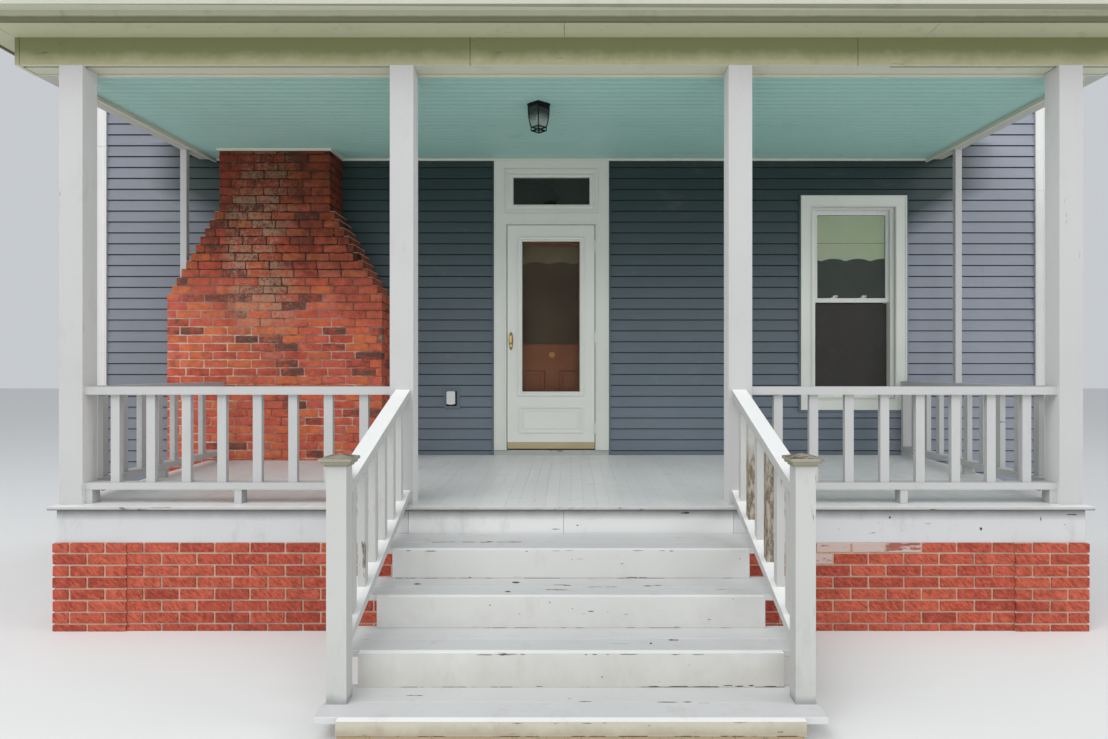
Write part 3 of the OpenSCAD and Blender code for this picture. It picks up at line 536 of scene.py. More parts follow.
@dataclass(frozen=True)
class Paint:
    """Old oil paint on wood: brushed grain, dirt, chips down to the wood and, if asked, moss.

    Attributes:
        bare: Colour of the wood under the paint.
        stain: Heights from clean to dark and the share of the soil colour there, or None; on the risers,
            newels and mossy balusters it is dirt, on the skirt and the top riser painted shadow under the
            deck's nosing, on the beam and the fascia a darker band towards one edge.
        ragged: How uneven the edge of the stain is.
        nicks: Share of small dark nicks along the grain.
        flake: Scale of the chips; a higher number makes them smaller.
    """

    colour: Colour
    grain: Axis = Axis.Z
    dirt: float = 0.4
    chips: float = 0.15
    moss: float = 0.0
    gloss: float = 0.5
    bare: Colour = (0.2, 0.17, 0.13)
    soil: Colour = (0.3, 0.29, 0.24)
    stain: Triple | None = None
    ragged: float = 0.4
    nicks: float = 0.0
    flake: float = 9.0

    def build(self, g: Graph) -> Material:
        """Makes the material.

        Args:
            g: Its graph, still empty.

        Returns:
            The material.
        """
        stretch = [26.0, 26.0, 26.0]
        stretch[self.grain.value] = 1.6
        grain = g.noise(3.0, 5, 0.6, g.mapped(stretch))
        tone = g.attribute("tone")
        wide = g.noise(1.1, 3)
        base = g.mix(g.band(wide, 0.3, 0.7, 0.0, 0.5), self.colour, scaled(self.colour, 0.88))
        base = g.over(base, scaled(self.colour, 0.8), tone, 0, 1, 0.22)
        smear = g.noise(2.2, 8, 0.72, g.mapped((2.5, 2.5, 1.0)))
        base = g.over(base, self.soil, smear, 0.56, 0.78, self.dirt)
        specks = g.noise(55, 6, 0.75)
        base = g.over(base, scaled(self.soil, 0.6), specks, 0.66, 0.74, self.dirt * 0.8)
        if self.stain:
            clean, dirty, share = self.stain
            reach = abs(clean - dirty) * self.ragged
            height = g.calc("ADD", g.part(Axis.Z), g.band(g.noise(7, 6, 0.7), 0.3, 0.7, -reach, reach))
            base = g.over(base, self.soil, height, clean, dirty, share)
        if self.nicks:
            thin = [1.0 if s > 2 else 0.1 for s in stretch]
            nick = g.band(g.noise(42, 4, 0.6, g.mapped(thin)), 0.68, 0.7)
            gate = g.band(g.noise(2.6, 5, 0.7), 0.6 - 0.12 * self.nicks, 0.66)
            base = g.mix(g.calc("MULTIPLY", nick, gate), base, (0.03, 0.026, 0.02))
        if self.chips > 0:
            flake = g.noise(self.flake, 10, 0.68, g.mapped([1.0 if s > 2 else 0.25 for s in stretch]))
            edge = 0.74 - 0.16 * self.chips
            mask = g.band(flake, edge, edge + 0.02)
            base = g.mix(mask, base, g.ramp(grain, (0.3, scaled(self.bare, 0.6)), (0.7, self.bare)))
            g.bump(mask, 0.5, -0.0012)
        if self.moss > 0:
            growth = g.noise(26, 10, 0.8, g.mapped((1.6, 1.6, 0.4)))
            mask = g.band(growth, 0.58 - 0.12 * self.moss, 0.66 - 0.12 * self.moss, 0.0, 0.9)
            if self.stain:
                height = g.calc("ADD", g.part(Axis.Z), g.band(g.noise(9, 4), 0.3, 0.7, -0.07, 0.07))
                mask = g.calc("MULTIPLY", mask, g.band(height, *self.stain[:2]))
            olive = g.ramp(g.noise(34, 5), (0.35, (0.06, 0.036, 0.022)), (0.65, (0.15, 0.12, 0.045)))
            base = g.mix(mask, base, olive)
        g.bump(grain, 0.12, 0.0008)
        g.bump(g.noise(14, 4), 0.1, 0.0015)
        rough = g.band(smear, 0.3, 0.8, self.gloss, min(1.0, self.gloss + 0.25))
        return g.done(base, rough)


@dataclass(frozen=True)
class Brick:
    """Fired brick with per-brick tone, soot, pale bloom, a sandy surface and, if asked, painted shade that
    grows with height.

    Attributes:
        fade: Heights between which the brick goes from bright to dark, as soot and as painted shade under the
            porch ceiling, or None.
        bloom: Colour of the salt on the bricks where the soot starts.
        patch: X where the bloom starts, is full, starts to fade and ends.
        combed: True for the combed face of wire-cut brick.
    """

    tones: tuple[Colour, ...]
    soot: Colour = (0.055, 0.03, 0.018)
    soot_share: float = 0.5
    fade: Pair | None = None
    bloom: Colour = (0.45, 0.3, 0.2)
    patch: Quad = (-3.08, -2.95, -2.58, -2.4)
    combed: bool = False

    def build(self, g: Graph) -> Material:
        """Makes the material.

        Args:
            g: Its graph, still empty.

        Returns:
            The material.
        """
        tone = g.attribute("tone")
        if self.fade:
            drift = g.noise(12, 6, 0.75, g.mapped((1, 1, 1.7)))
            tone = g.calc("ADD", tone, g.band(drift, 0.34, 0.66, -0.17, 0.17))
        steps = len(self.tones) - 1
        base = g.ramp(tone, *((i / steps, c) for i, c in enumerate(self.tones)))
        blotch = g.noise(13, 6, 0.66)
        base = g.over(base, scaled(self.tones[1], 0.45), blotch, 0.42, 0.75, 0.55)
        grit = g.noise(170, 4, 0.7)
        base = g.over(base, scaled(self.tones[-1], 1.3), grit, 0.58, 0.75, 0.35)
        stain = g.noise(1.9, 7, 0.7)
        base = g.over(base, self.soot, stain, 0.56, 0.74, self.soot_share)
        if self.fade:
            base = self.smoked_and_shaded(g, g.flecks(base, (0.5, 0.22, 0.15), 0.6))
        if self.combed:
            comb = g.noise(30, 4, 0.65, g.turned((1.0, 1.0, 3.0), (0, 0.7, 0)))
            base = g.over(base, scaled(self.tones[0], 0.4), comb, 0.5, 0.62, 0.55)
            base = g.mix(g.band(comb, 0.36, 0.46, 0.35, 0), base, (0.64, 0.18, 0.12))
            g.bump(comb, 0.9, 0.006)
        g.bump(grit, 0.35, 0.0015)
        g.bump(blotch, 0.5, 0.005)
        g.set(g.shader.inputs["Specular IOR Level"], 0.15)
        return g.done(base, g.band(grit, 0.3, 0.7, 0.78, 0.95))

    def smoked_and_shaded(self, g: Graph, base: Socket) -> Socket:
        """Adds soot and painted shade that get thicker with height, and the bloom below it.

        Args:
            g: Graph of the material.
            base: Colour so far.

        Returns:
            The new colour.
        """
        low, high = self.fade
        drift = g.calc("ADD", g.part(Axis.Z), g.band(g.noise(1.3, 5, 0.65), 0.3, 0.7, -0.35, 0.35))
        # Darker with height: soot, and painted shade under the porch ceiling.
        red = g.times(base, (0.34, 0.3, 0.24))
        base = g.over(base, red, drift, low, high + 0.2)
        base = g.over(base, self.soot, g.noise(7, 7, 0.75), 0.42, 0.6, g.band(drift, low, high, 0, 0.75))
        own = g.calc("FRACT", g.calc("MULTIPLY", g.attribute("tone"), 7.31))
        grain = g.calc("ADD", g.noise(34, 10, 0.85), g.band(own, 0, 1, -0.06, 0.04))
        side = g.calc("ADD", g.part(Axis.X), g.band(g.noise(2.2, 4), 0.3, 0.7, -0.14, 0.14))
        x0, x1, x2, x3 = self.patch
        across = g.calc("MULTIPLY", g.band(side, x0, x1, 0.1, 1), g.band(side, x2, x3, 1, 0.08))
        up = g.band(drift, low - 0.35, low + 0.25, 0.12, 1)
        share = g.calc("MULTIPLY", g.band(grain, 0.46, 0.54, 0, 0.85), g.calc("MULTIPLY", across, up))
        # The bloom darkens upwards: painted shade.
        tint = g.mix(g.band(drift, low, high + 0.1), self.bloom, (0.17, 0.12, 0.08))
        return g.mix(share, base, tint)


@dataclass(frozen=True)
class Mortar:
    """Sandy lime mortar.

    Attributes:
        red: Share that is smeared with brick dust.
        fade: Heights between which it gets dark, as soot and as painted shade in the recessed joints, or
            None.
    """

    colour: Colour
    dirt: Colour = (0.1, 0.07, 0.055)
    red: float = 0.0
    fade: Pair | None = None

    def build(self, g: Graph) -> Material:
        """Makes the material.

        Args:
            g: Its graph, still empty.

        Returns:
            The material.
        """
        sand = g.noise(210, 4, 0.7)
        base = g.mix(g.band(sand, 0.35, 0.65), scaled(self.colour, 0.8), self.colour)
        base = g.over(base, self.dirt, g.noise(2.4, 7, 0.7), 0.5, 0.75, 0.75)
        if self.red:
            corner = g.calc("ADD", g.band(g.part(Axis.X), -3.6, -2.9, -0.16, 0), g.noise(2.6, 7, 0.7))
            smear = g.band(corner, 0.56 - 0.25 * self.red, 0.56, 0, 0.92)
            base = g.mix(smear, base, (0.2, 0.055, 0.03))
        if self.fade:
            base = g.flecks(base, (0.5, 0.26, 0.18), 0.7)
            # Near black towards the top: soot, and painted shade in the recessed joints.
            veil = g.band(g.noise(26, 6, 0.75), 0.54, 0.64)
            soot_and_shade = g.mix(veil, (0.03, 0.012, 0.007), (0.13, 0.085, 0.055))
            base = g.mix(g.band(g.part(Axis.Z), *self.fade, 0, 0.95), base, soot_and_shade)
        g.bump(sand, 0.5, 0.002)
        g.bump(g.noise(30, 5), 0.4, 0.004)
        g.set(g.shader.inputs["Specular IOR Level"], 0.15)
        return g.done(base, 0.95)


@dataclass(frozen=True)
class Vinyl:
    """Moulded vinyl with a faint embossed wood grain, painted shade where its tone is high and, if asked,
    painted light and shade by place.

    Attributes:
        outside_painted_light: Colour outside the shelter of the porch roof and above the roof, lighter and
            bluer as painted light and painted sky sheen, or None.
        upper: Colour towards the top under the porch ceiling: painted shade, tinted teal as a painted
            reflection of the ceiling.
        shelter: Half width of that shelter, where the painted shade gives way to the painted light.
    """

    colour: Colour
    grain: Axis = Axis.X
    gloss: float = 0.45
    dust: float = 0.25
    outside_painted_light: Colour | None = None
    upper: Colour = (0.015, 0.036, 0.035)
    shelter: float = 3.35

    def build(self, g: Graph) -> Material:
        """Makes the material.

        Args:
            g: Its graph, still empty.

        Returns:
            The material.
        """
        stretch = [60.0, 60.0, 60.0]
        stretch[self.grain.value] = 2.2
        grain = g.noise(3.0, 6, 0.65, g.mapped(stretch), 0.3)
        tone = g.attribute("tone")
        base = self.colour
        # Painted light and shade by place: darker and tealer towards the top under the porch ceiling, lighter
        # outside its shelter and above the roof, and lighter on the right than on the left.
        if self.outside_painted_light:
            base = g.over(base, self.upper, g.part(Axis.Z), 1.2, 3.3)
            wider = g.band(g.part(Axis.Z), 2.8, 3.3, 0, 0.8)
            out = g.calc("SUBTRACT", g.calc("ABSOLUTE", g.part(Axis.X)), wider)
            out = g.calc("ADD", out, g.band(g.part(Axis.Z), 3.72, 3.76, 0, 9))
            painted_light_outside = g.mix(g.band(g.part(Axis.X), -3, 3), scaled(self.outside_painted_light, 0.84), scaled(self.outside_painted_light, 1.12))
            base = g.over(base, painted_light_outside, out, self.shelter - 0.6, self.shelter - 0.2)
        base = g.over(base, g.times(base, (0.8, 0.82, 0.84)), tone, 0, 1, 0.2)
        light = g.times(base, (1.22, 1.2, 1.18))
        base = g.over(base, light, g.noise(0.9, 4, 0.6), 0.35, 0.7, 0.7)
        dark = g.times(base, (0.72, 0.73, 0.74))
        base = g.over(base, dark, grain, 0.42, 0.65, 0.3)
        dusty = g.noise(3.5, 8, 0.75, g.mapped((0.7, 0.7, 1.6)))
        base = g.over(base, (0.33, 0.34, 0.33), dusty, 0.58, 0.82, self.dust)
        # Tones from 1.5 to 1.9 go near black: painted shade in the siding's laps, and the dark stitched line
        # of the window shades.
        base = g.over(base, (0.008, 0.01, 0.012), tone, 1.5, 1.9, 0.97)
        g.bump(grain, 0.16, 0.0009)
        return g.done(base, g.band(dusty, 0.3, 0.8, self.gloss, self.gloss + 0.2))


@dataclass(frozen=True)
class Enamel:
    """Factory enamel or bare metal with fine dirt."""

    colour: Colour
    gloss: float = 0.35
    metallic: float = 0.0
    dirt: float = 0.25
    soil: Colour = (0.3, 0.3, 0.24)
    shine: float = 0.5

    def build(self, g: Graph) -> Material:
        """Makes the material.

        Args:
            g: Its graph, still empty.

        Returns:
            The material.
        """
        g.shader.inputs["Specular IOR Level"].default_value = self.shine
        smear = g.noise(2.6, 8, 0.75)
        base = g.mix(g.band(smear, 0.54, 0.8, 0, self.dirt), self.colour, self.soil)
        base = g.over(base, scaled(self.soil, 0.5), g.noise(90, 4, 0.7), 0.66, 0.76, self.dirt)
        g.bump(g.noise(40, 3), 0.05, 0.0008)
        rough = g.band(smear, 0.35, 0.8, self.gloss, min(1.0, self.gloss + 0.25))
        return g.done(base, rough, self.metallic)


@dataclass(frozen=True)
class Pane:
    """Window glass: an opaque dark pane standing in as painted shade for the room behind, or clear glass.

    Attributes:
        ior: Index of refraction, which sets how strongly it mirrors.
        shaded: Heights from light to dark, or None.
    """

    colour: Colour
    clear: float = 0.0
    gloss: float = 0.04
    ior: float = 1.5
    specks: float = 0.0
    shaded: Pair | None = None

    def build(self, g: Graph) -> Material:
        """Makes the material.

        Args:
            g: Its graph, still empty.

        Returns:
            The material.
        """
        haze = g.noise(3.0, 5, 0.6)
        base = g.mix(g.band(haze, 0.35, 0.75, 0, 0.5), self.colour, scaled(self.colour, 1.9))
        # Dark green specks: painted reflection of foliage.
        if self.specks:
            base = g.over(base, (0.07, 0.095, 0.05), g.noise(48, 9, 0.85), 0.52, 0.64, self.specks)
        if self.shaded:
            base = g.mix(g.band(g.part(Axis.Z), *self.shaded), base, scaled(self.colour, 0.2))
        g.bump(g.noise(1.6, 2), 0.02, 0.004)
        g.shader.inputs["IOR"].default_value = self.ior
        g.shader.inputs["Transmission Weight"].default_value = self.clear
        return g.done(base, g.band(haze, 0.4, 0.8, self.gloss, self.gloss + 0.06))


def scaled(colour: Colour, factor: float) -> Colour:
    """A colour times a factor, kept under 1."""
    return tuple(min(1.0, c * factor) for c in colour)


FINISHES: dict[str, Paint | Brick | Mortar | Vinyl | Enamel | Pane] = {
    "post": Paint((0.475, 0.47, 0.465), Axis.Z, 0.3, 0.1, nicks=0.5),
    # Whiter copy of the post paint for the posts' inner sides: painted light.
    "post_side_painted_light": Paint((0.66, 0.655, 0.645), Axis.Z, 0.3, 0.1, nicks=0.3),
    "rail": Paint((0.465, 0.465, 0.46), Axis.X, 0.3, 0.15, nicks=0.2),
    "stair_rail": Paint((0.5, 0.5, 0.48), Axis.Z, 0.5, 0.45, nicks=0.8),
    "newel": Paint((0.485, 0.485, 0.465), Axis.Z, 0.4, 0.4, nicks=0.8,
                   stain=(0.155, 0.12, 0.8), soil=(0.24, 0.25, 0.25)),
    "mossy": Paint((0.5, 0.5, 0.46), Axis.Z, 0.4, 0.3, 1.0, nicks=1.0,
                   stain=(1.21, 1.07, 0.8), soil=(0.33, 0.27, 0.215)),
    "rail_top": Paint((0.8, 0.8, 0.79), Axis.Y, 0.3, 0.1, nicks=0.6),
    # The front beam's white paint is olive and dark: painted shade under the eave and painted reflection of
    # the green lawn; it darkens further towards its top.
    "beam": Paint((0.36, 0.345, 0.21), Axis.X, 0.3, 0.05, soil=(0.15, 0.165, 0.058),
                  stain=(3.51, 3.59, 0.82), ragged=0.3, nicks=0.7),
    "side_beam": Paint((0.52, 0.54, 0.49), Axis.Y, 0.3, 0.05),
    "soffit": Paint((0.53, 0.54, 0.37), Axis.X, 0.5, 0.0, soil=(0.2, 0.21, 0.08), nicks=0.6),
    "trim": Paint((0.64, 0.645, 0.53), Axis.X, 0.25, 0.0, nicks=0.3),
    "peeled": Paint((0.5, 0.38, 0.34), Axis.X, 0.6, 1.2, bare=(0.36, 0.12, 0.09), gloss=0.85, nicks=0.6),
    "casing": Paint((0.645, 0.66, 0.605), Axis.Z, 0.15, 0.0),
    "door": Enamel((0.66, 0.665, 0.62), 0.3, 0.0, 0.08, (0.4, 0.4, 0.34)),
    "white_vinyl": Vinyl((0.6, 0.6, 0.585), Axis.Z),
    # The siding's last colour is painted light outside the porch roof.
    "siding": Vinyl((0.112, 0.14, 0.172), Axis.X, 0.46, 0.2, (0.195, 0.215, 0.255)),
    "ceiling": Paint((0.365, 0.61, 0.55), Axis.X, 0.25, 0.0, gloss=0.38, soil=(0.2, 0.3, 0.25), nicks=0.3),
    "deck": Paint((0.74, 0.74, 0.735), Axis.Y, 0.3, 0.1, gloss=0.3, nicks=0.8),
    "tread": Paint((0.59, 0.59, 0.59), Axis.X, 0.4, 0.25, gloss=0.45, nicks=1.0),
    "tread_edge": Paint((0.86, 0.86, 0.84), Axis.X, 0.3, 0.2, nicks=1.2),
    "riser": Paint((0.585, 0.585, 0.565), Axis.X, 0.4, 0.25, nicks=0.7,
                   stain=(0.36, 0.1, 0.34), soil=(0.34, 0.31, 0.22)),
    "low_riser": Paint((0.5, 0.47, 0.38), Axis.X, 0.9, 0.9, nicks=1.0,
                       stain=(0.1, 0.055, 0.7), soil=(0.3, 0.25, 0.17)),
    "skid": Paint((0.36, 0.27, 0.15), Axis.X, 0.7, 0.8, 0.3),
    # The skirt and the top riser darken to near black towards their upper edge: painted shadow under the
    # deck's nosing.
    "skirt": Paint((0.55, 0.555, 0.56), Axis.X, 0.3, 0.1, nicks=0.6,
                   stain=(0.675, 0.742, 0.85), ragged=0.08, soil=(0.1, 0.1, 0.09)),
    "top_riser": Paint((0.68, 0.68, 0.67), Axis.X, 0.3, 0.1, nicks=0.6,
                       stain=(0.675, 0.742, 0.85), ragged=0.08, soil=(0.1, 0.1, 0.09)),
    "cap": Paint((0.27, 0.235, 0.19), Axis.X, 0.9, 1.4, 0.0, 0.7, (0.12, 0.075, 0.05), flake=60.0),
    "cap_edge": Paint((0.28, 0.27, 0.2), Axis.X, 0.9, 0.9, nicks=1.0, flake=30.0),
    "lumber": Paint((0.42, 0.33, 0.22), Axis.X, 0.4, 0.0, gloss=0.8),
    "plaster": Paint((0.6, 0.58, 0.54), Axis.Z, 0.1, 0.0, gloss=0.8),
    "chimney": Brick(
        ((0.12, 0.065, 0.055), (0.4, 0.08, 0.05), (0.53, 0.1, 0.062), (0.58, 0.115, 0.065),
         (0.63, 0.14, 0.06), (0.57, 0.115, 0.08), (0.51, 0.1, 0.07), (0.6, 0.15, 0.1), (0.66, 0.17, 0.05),
         (0.5, 0.125, 0.09)),
        soot=(0.06, 0.022, 0.012), soot_share=0.3, fade=(2.1, 3.1),
    ),
    "foundation": Brick(
        ((0.34, 0.06, 0.04), (0.44, 0.085, 0.05), (0.5, 0.11, 0.065), (0.4, 0.07, 0.045)),
        soot_share=0.15, combed=True,
    ),
    "chimney_mortar": Mortar((0.64, 0.45, 0.35), red=0.74, fade=(1.9, 2.5)),
    "ledge_mortar": Mortar((0.42, 0.33, 0.26), (0.12, 0.08, 0.06)),
    "foundation_mortar": Mortar((0.6, 0.4, 0.3)),
    "shingle": Mortar((0.13, 0.12, 0.12), (0.05, 0.05, 0.05)),
    "gutter": Enamel((0.48, 0.48, 0.395), 0.35, 0.0, 0.4, (0.2, 0.22, 0.1)),
    "fascia": Paint((0.42, 0.42, 0.31), Axis.X, 0.4, 0.0, soil=(0.09, 0.094, 0.038),
                    stain=(3.698, 3.686, 0.9), ragged=0.15, nicks=0.4),
    # Darker enamel for the gutters' undersides: painted shade, with greenish dirt.
    "gutter_underside_shade": Enamel((0.36, 0.36, 0.27), 0.5, 0.0, 0.5, (0.16, 0.17, 0.08)),
    "gutter_lip": Enamel((0.6, 0.61, 0.5), 0.3, 0.0, 0.3, (0.3, 0.32, 0.2)),
    "sill": Paint((0.42, 0.42, 0.41), Axis.X, 0.8, 0.8, nicks=1.0),
    # Near black: painted shade under the deck's nosing and in the recess of the front beam.
    "nosing": Paint((0.05, 0.05, 0.04), Axis.X, 0.7, 0.4, nicks=1.2, flake=20.0),
    "beam_under": Paint((0.62, 0.65, 0.51), Axis.X, 0.3, 0.0, nicks=0.6),
    "scar": Paint((0.07, 0.058, 0.048), Axis.X, 0.5, 0.0, gloss=0.8),
    # Broken dark line at the foot of each riser: painted shade in the crease, broken by chips.
    "crease_shade": Paint((0.44, 0.43, 0.4), Axis.X, 1.0, 1.5, bare=(0.08, 0.06, 0.04), flake=24.0),
    # Near black panes stand in as painted shade for the rooms behind the glass.
    "door_room_shade": Pane((0.034, 0.019, 0.01), gloss=0.2, ior=1.15),
    # Dark pane with specks of painted reflection of foliage.
    "room_shade_pane_reflections": Pane((0.004, 0.007, 0.004), gloss=0.3, ior=1.15, specks=0.8),
    "brass": Enamel((0.6, 0.43, 0.17), 0.28, 1.0, 0.15),
    "antique": Enamel((0.2, 0.16, 0.085), 0.3, 0.85, 0.45, (0.06, 0.045, 0.02)),
    "black": Enamel((0.004, 0.006, 0.006), 0.5, 0.0, 0.02, shine=0.1),
    "outlet": Enamel((0.6, 0.61, 0.6), 0.4, 0.0, 0.2),
    "screw": Enamel((0.4, 0.4, 0.4), 0.35, 1.0, 0.3),
    # Near black pane: painted shade for the room behind.
    "room_shade_pane": Pane((0.012, 0.014, 0.011)),
    "clear_pane": Pane((0.86, 0.92, 0.86), 0.97, 0.02, 1.12),
    "storm_pane": Pane((0.6, 0.49, 0.39), 0.97, 0.02, 1.15),
    "lantern_pane": Pane((0.56, 0.66, 0.6), 0.7, 0.12, 1.3, shaded=(3.39, 3.45)),
    "door_wood": Paint((0.36, 0.12, 0.055), Axis.Z, 0.25, 0.0, gloss=0.35, soil=(0.05, 0.02, 0.012)),
    "door_shade": Vinyl((0.3, 0.31, 0.26), Axis.Z, 0.8, 0.1),
    "sweep": Enamel((0.42, 0.35, 0.21), 0.42, 0.6, 0.2),
    "screen": Enamel((0.028, 0.025, 0.022), 0.75, 0.0, 0.1),
    "shade": Vinyl((0.47, 0.5, 0.35), Axis.Z, 0.8, 0.1),
    "bulb": Enamel((0.8, 0.8, 0.76), 0.3, 0.0, 0.0),
}


@cache
def look(name: str) -> Material:
    """Material of a finish, made when it is first asked for."""
    return FINISHES[name].build(Graph(name))


@dataclass
class Assembly:
    """A part of the porch that makes its pieces and dresses its own CAD nodes."""

    plan: Plan
    nodes: dict[str, bpy.types.Object]

    def build(self) -> None:
        """Makes the pieces and materials of this part."""
        raise NotImplementedError

    def paint(self, material: str, bevel: float, segments: int, *names: str) -> None:
        """Gives CAD nodes a material and rounded edges.

        Args:
            material: Key in FINISHES.
            bevel: Width of the rounded edges.
            segments: Segments of the rounded edges.
            names: Names of the nodes.
        """
        for name in names:
            piece = self.nodes[name]
            piece.data.materials.clear()
            piece.data.materials.append(look(material))
            for polygon in piece.data.polygons:
                polygon.material_index = 0
            round_edges(piece, bevel, segments)
            LOG.info("dressed %s", name)

    def also(self, name: str, material: str, chosen: Callable[[bpy.types.MeshPolygon], bool]) -> None:
        """Gives some faces of a CAD node another material.

        Args:
            name: Name of the node.
            material: Key in FINISHES.
            chosen: Says whether a face gets it.
        """
        data = self.nodes[name].data
        data.materials.append(look(material))
        for polygon in data.polygons:
            if chosen(polygon):
                polygon.material_index = len(data.materials) - 1


@dataclass
class BrickLayer:
    """Lays bricks in courses on a draft, in its slot 0.

    Attributes:
        course: Height of a course with its joint.
        length: Length of a brick with its joint.
        old: True for bricks with an uneven outline and rounded edges.
        peeled: (x0, x1, z0, z1) areas of the front whose bricks go in slot 2.
        odd: (x, z, tone) of the front's bricks that stand out.
        proud: Least and most that a brick stands out.
    """

    draft: Draft
    course: float
    length: float
    joint: float
    wear: float = 0.0009
    old: bool = False
    peeled: Sequence[Quad] = ()
    odd: Sequence[Triple] = ()
    shortest: float = 0.05
    thinnest: float = 0.015
    proud: Pair = (-0.0022, 0.0014)

    def row(
        self, axis: Axis, start: float, end: float, face: float, back: float,
        z: float, top: float, shift: float,
    ) -> None:
        """Lays one row of bricks.

        Args:
            axis: Axis that the row runs along, X or Y.
            start: Where it starts.
            end: Where it ends.
            face: Coordinate of the bricks' outer faces on the other axis.
            back: Coordinate of their backs.
            z: Height of the row's foot.
            top: Height that no brick passes.
            shift: Share of a brick that the bond starts with.
        """
        rng = self.draft.rng
        at = start - self.length * shift
        laid = start - self.joint
        while at < end - 0.02:
            low = laid + self.joint
            high = min(at + self.length - self.joint, end)
            if end - high < self.shortest:
                high = end
            at += self.length
            if high - low < self.shortest:
                continue
            laid = high
            foot = max(z + self.joint / 2, 0.0)
            head = min(z + self.course - self.joint / 2, top)
            if head - foot < self.thinnest:
                continue
            outer = face + math.copysign(rng.uniform(*self.proud), face - back)
            if self.old:
                tone = rng.random()
                if axis is Axis.X:
                    odd = (t for x, height, t in self.odd if low < x < high and foot < height < head)
                    tone = next(odd, tone)
                self.worn(axis, (low, foot), (high, head), outer, back, tone)
                continue
            a, b = sorted((outer, back))
            corners = ((low, a, foot), (high, b, head))
            if axis is Axis.Y:
                corners = ((a, low, foot), (b, high, head))
            x, height = (low + high) / 2, (foot + head) / 2
            bare = axis is Axis.X and any(p[0] < x < p[1] and p[2] < height < p[3] for p in self.peeled)
            self.draft.box(*corners, slot=2 if bare else 0, jitter=self.wear)

    def worn(self, axis: Axis, low: Pair, high: Pair, face: float, back: float, tone: float) -> None:
        """Lays one old brick.

        Args:
            axis: Axis that the row runs along, X or Y.
            low: Its lowest place along the row and lowest height.
            high: Its highest place along the row and highest height.
            face: Coordinate of its outer face on the other axis.
            back: Coordinate of its back.
            tone: Value for the material.
        """
        rng = self.draft.rng
        edge, span, inset, step = 0.006, 0.045, 0.0045, 0.004
        outline: list[Pair] = []
        corners = [low, (high[0], low[1]), high, (low[0], high[1])]
        for (a, b), (c, d) in zip(corners, corners[1:] + corners[:1]):
            length = math.hypot(c - a, d - b)
            inner = max(0, round(length / span) - 1)
            stops = [edge] + [length * (k + 1) / (inner + 1) for k in range(inner)] + [length - edge]
            for stop in stops:
                share = stop / length
                outline.append((a + (c - a) * share + rng.uniform(-self.wear, self.wear),
                                b + (d - b) * share + rng.uniform(-self.wear, self.wear)))
        middle = ((low[0] + high[0]) / 2, (low[1] + high[1]) / 2)
        shrink = [1 - inset / (high[i] - low[i]) * 2 for i in (0, 1)]
        small = [(middle[0] + (u - middle[0]) * shrink[0], middle[1] + (z - middle[1]) * shrink[1])
                 for u, z in outline]
        rings = []
        shoulder = face + math.copysign(step, back - face)
        for points, at in ((outline, back), (outline, shoulder), (small, face)):
            rings.append([(u, at, z) if axis is Axis.X else (at, u, z) for u, z in points])
        self.draft.solid(rings, tone)


@dataclass
class Chimney(Assembly):
    """Shouldered brick chimney, laid brick by brick.

    Attributes:
        corner: Depth that the front's bricks take from the side rows.
        ledge: How thick the mortar on the steps is.
        odd: (x, z, tone) of the bricks that stand out.
    """

    brick: float = 0.2095
    joint: float = 0.009
    wear: float = 0.0034
    bed: float = 0.1
    corner: float = 0.11
    recess: float = 0.003
    ledge: float = 0.009
    odd: tuple[Triple, ...] = (
        (-2.574, 2.378, 0.1), (-2.88, 2.25, 0.06), (-2.803, 1.893, 0.02), (-2.06, 1.96, 0.04),
        (-1.866, 2.437, 0.95), (-2.3, 1.75, 0.9), (-2.95, 1.8, 0.85),
    )

    def build(self) -> None:
        """Lays the chimney."""
        (x0, y0, _), (x1, y1, top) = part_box("chimney")
        middle = (x0 + x1) / 2
        course = SHOULDER_RISE / SHOULDER_STEPS
        draft = Draft("chimney_bricks", 11)
        layer = BrickLayer(draft, course, self.brick, self.joint, self.wear, True, odd=self.odd)
        z = SHOULDER_FOOT - math.ceil(SHOULDER_FOOT / course) * course
        number = 0
        while z < top - 0.01:
            w = self.reach(z + 0.01, (x1 - x0) / 2)
            left, right = middle - w, middle + w
            shift = (0.5 if number % 2 else 0.12) + draft.rng.uniform(-0.12, 0.12)
            layer.row(Axis.X, left, right, y0, y0 + self.bed, z, top, max(0.0, shift))
            for side, sign in ((left, 1), (right, -1)):
                inner = side + self.bed * sign
                layer.row(Axis.Y, y0 + self.corner, y1, side, inner, z, top, 0.5 * (number % 2))
            draft.box((left + self.recess, y0 + self.recess, max(z, 0.0)),
                      (right - self.recess, y1, min(z + course, top)), 0.5, 1)
            step = w - self.reach(z + course + 0.01, (x1 - x0) / 2)
            if step > 0.004:
                level = z + course - 0.004
                for a, b in ((left + 0.001, left + step + 0.004), (right - step - 0.004, right - 0.001)):
                    draft.box((a, y0 + 0.004, level), (b, y1, level + self.ledge), 0.5, 2)
            z += course
            number += 1
        draft.finish(["chimney", "chimney_mortar", "ledge_mortar"], ["chimney"], "chimney_brick",
                     smooth=True)

    def reach(self, z: float, half: float) -> float:
        """Half width of the chimney at a height.

        Args:
            z: The height.
            half: Half width under the shoulders.

        Returns:
            The half width.
        """
        if z < SHOULDER_FOOT:
            return half
        step = math.floor((z - SHOULDER_FOOT) / (SHOULDER_RISE / SHOULDER_STEPS) + 0.5)
        return max(STACK, half - (half - STACK) / SHOULDER_STEPS * step)


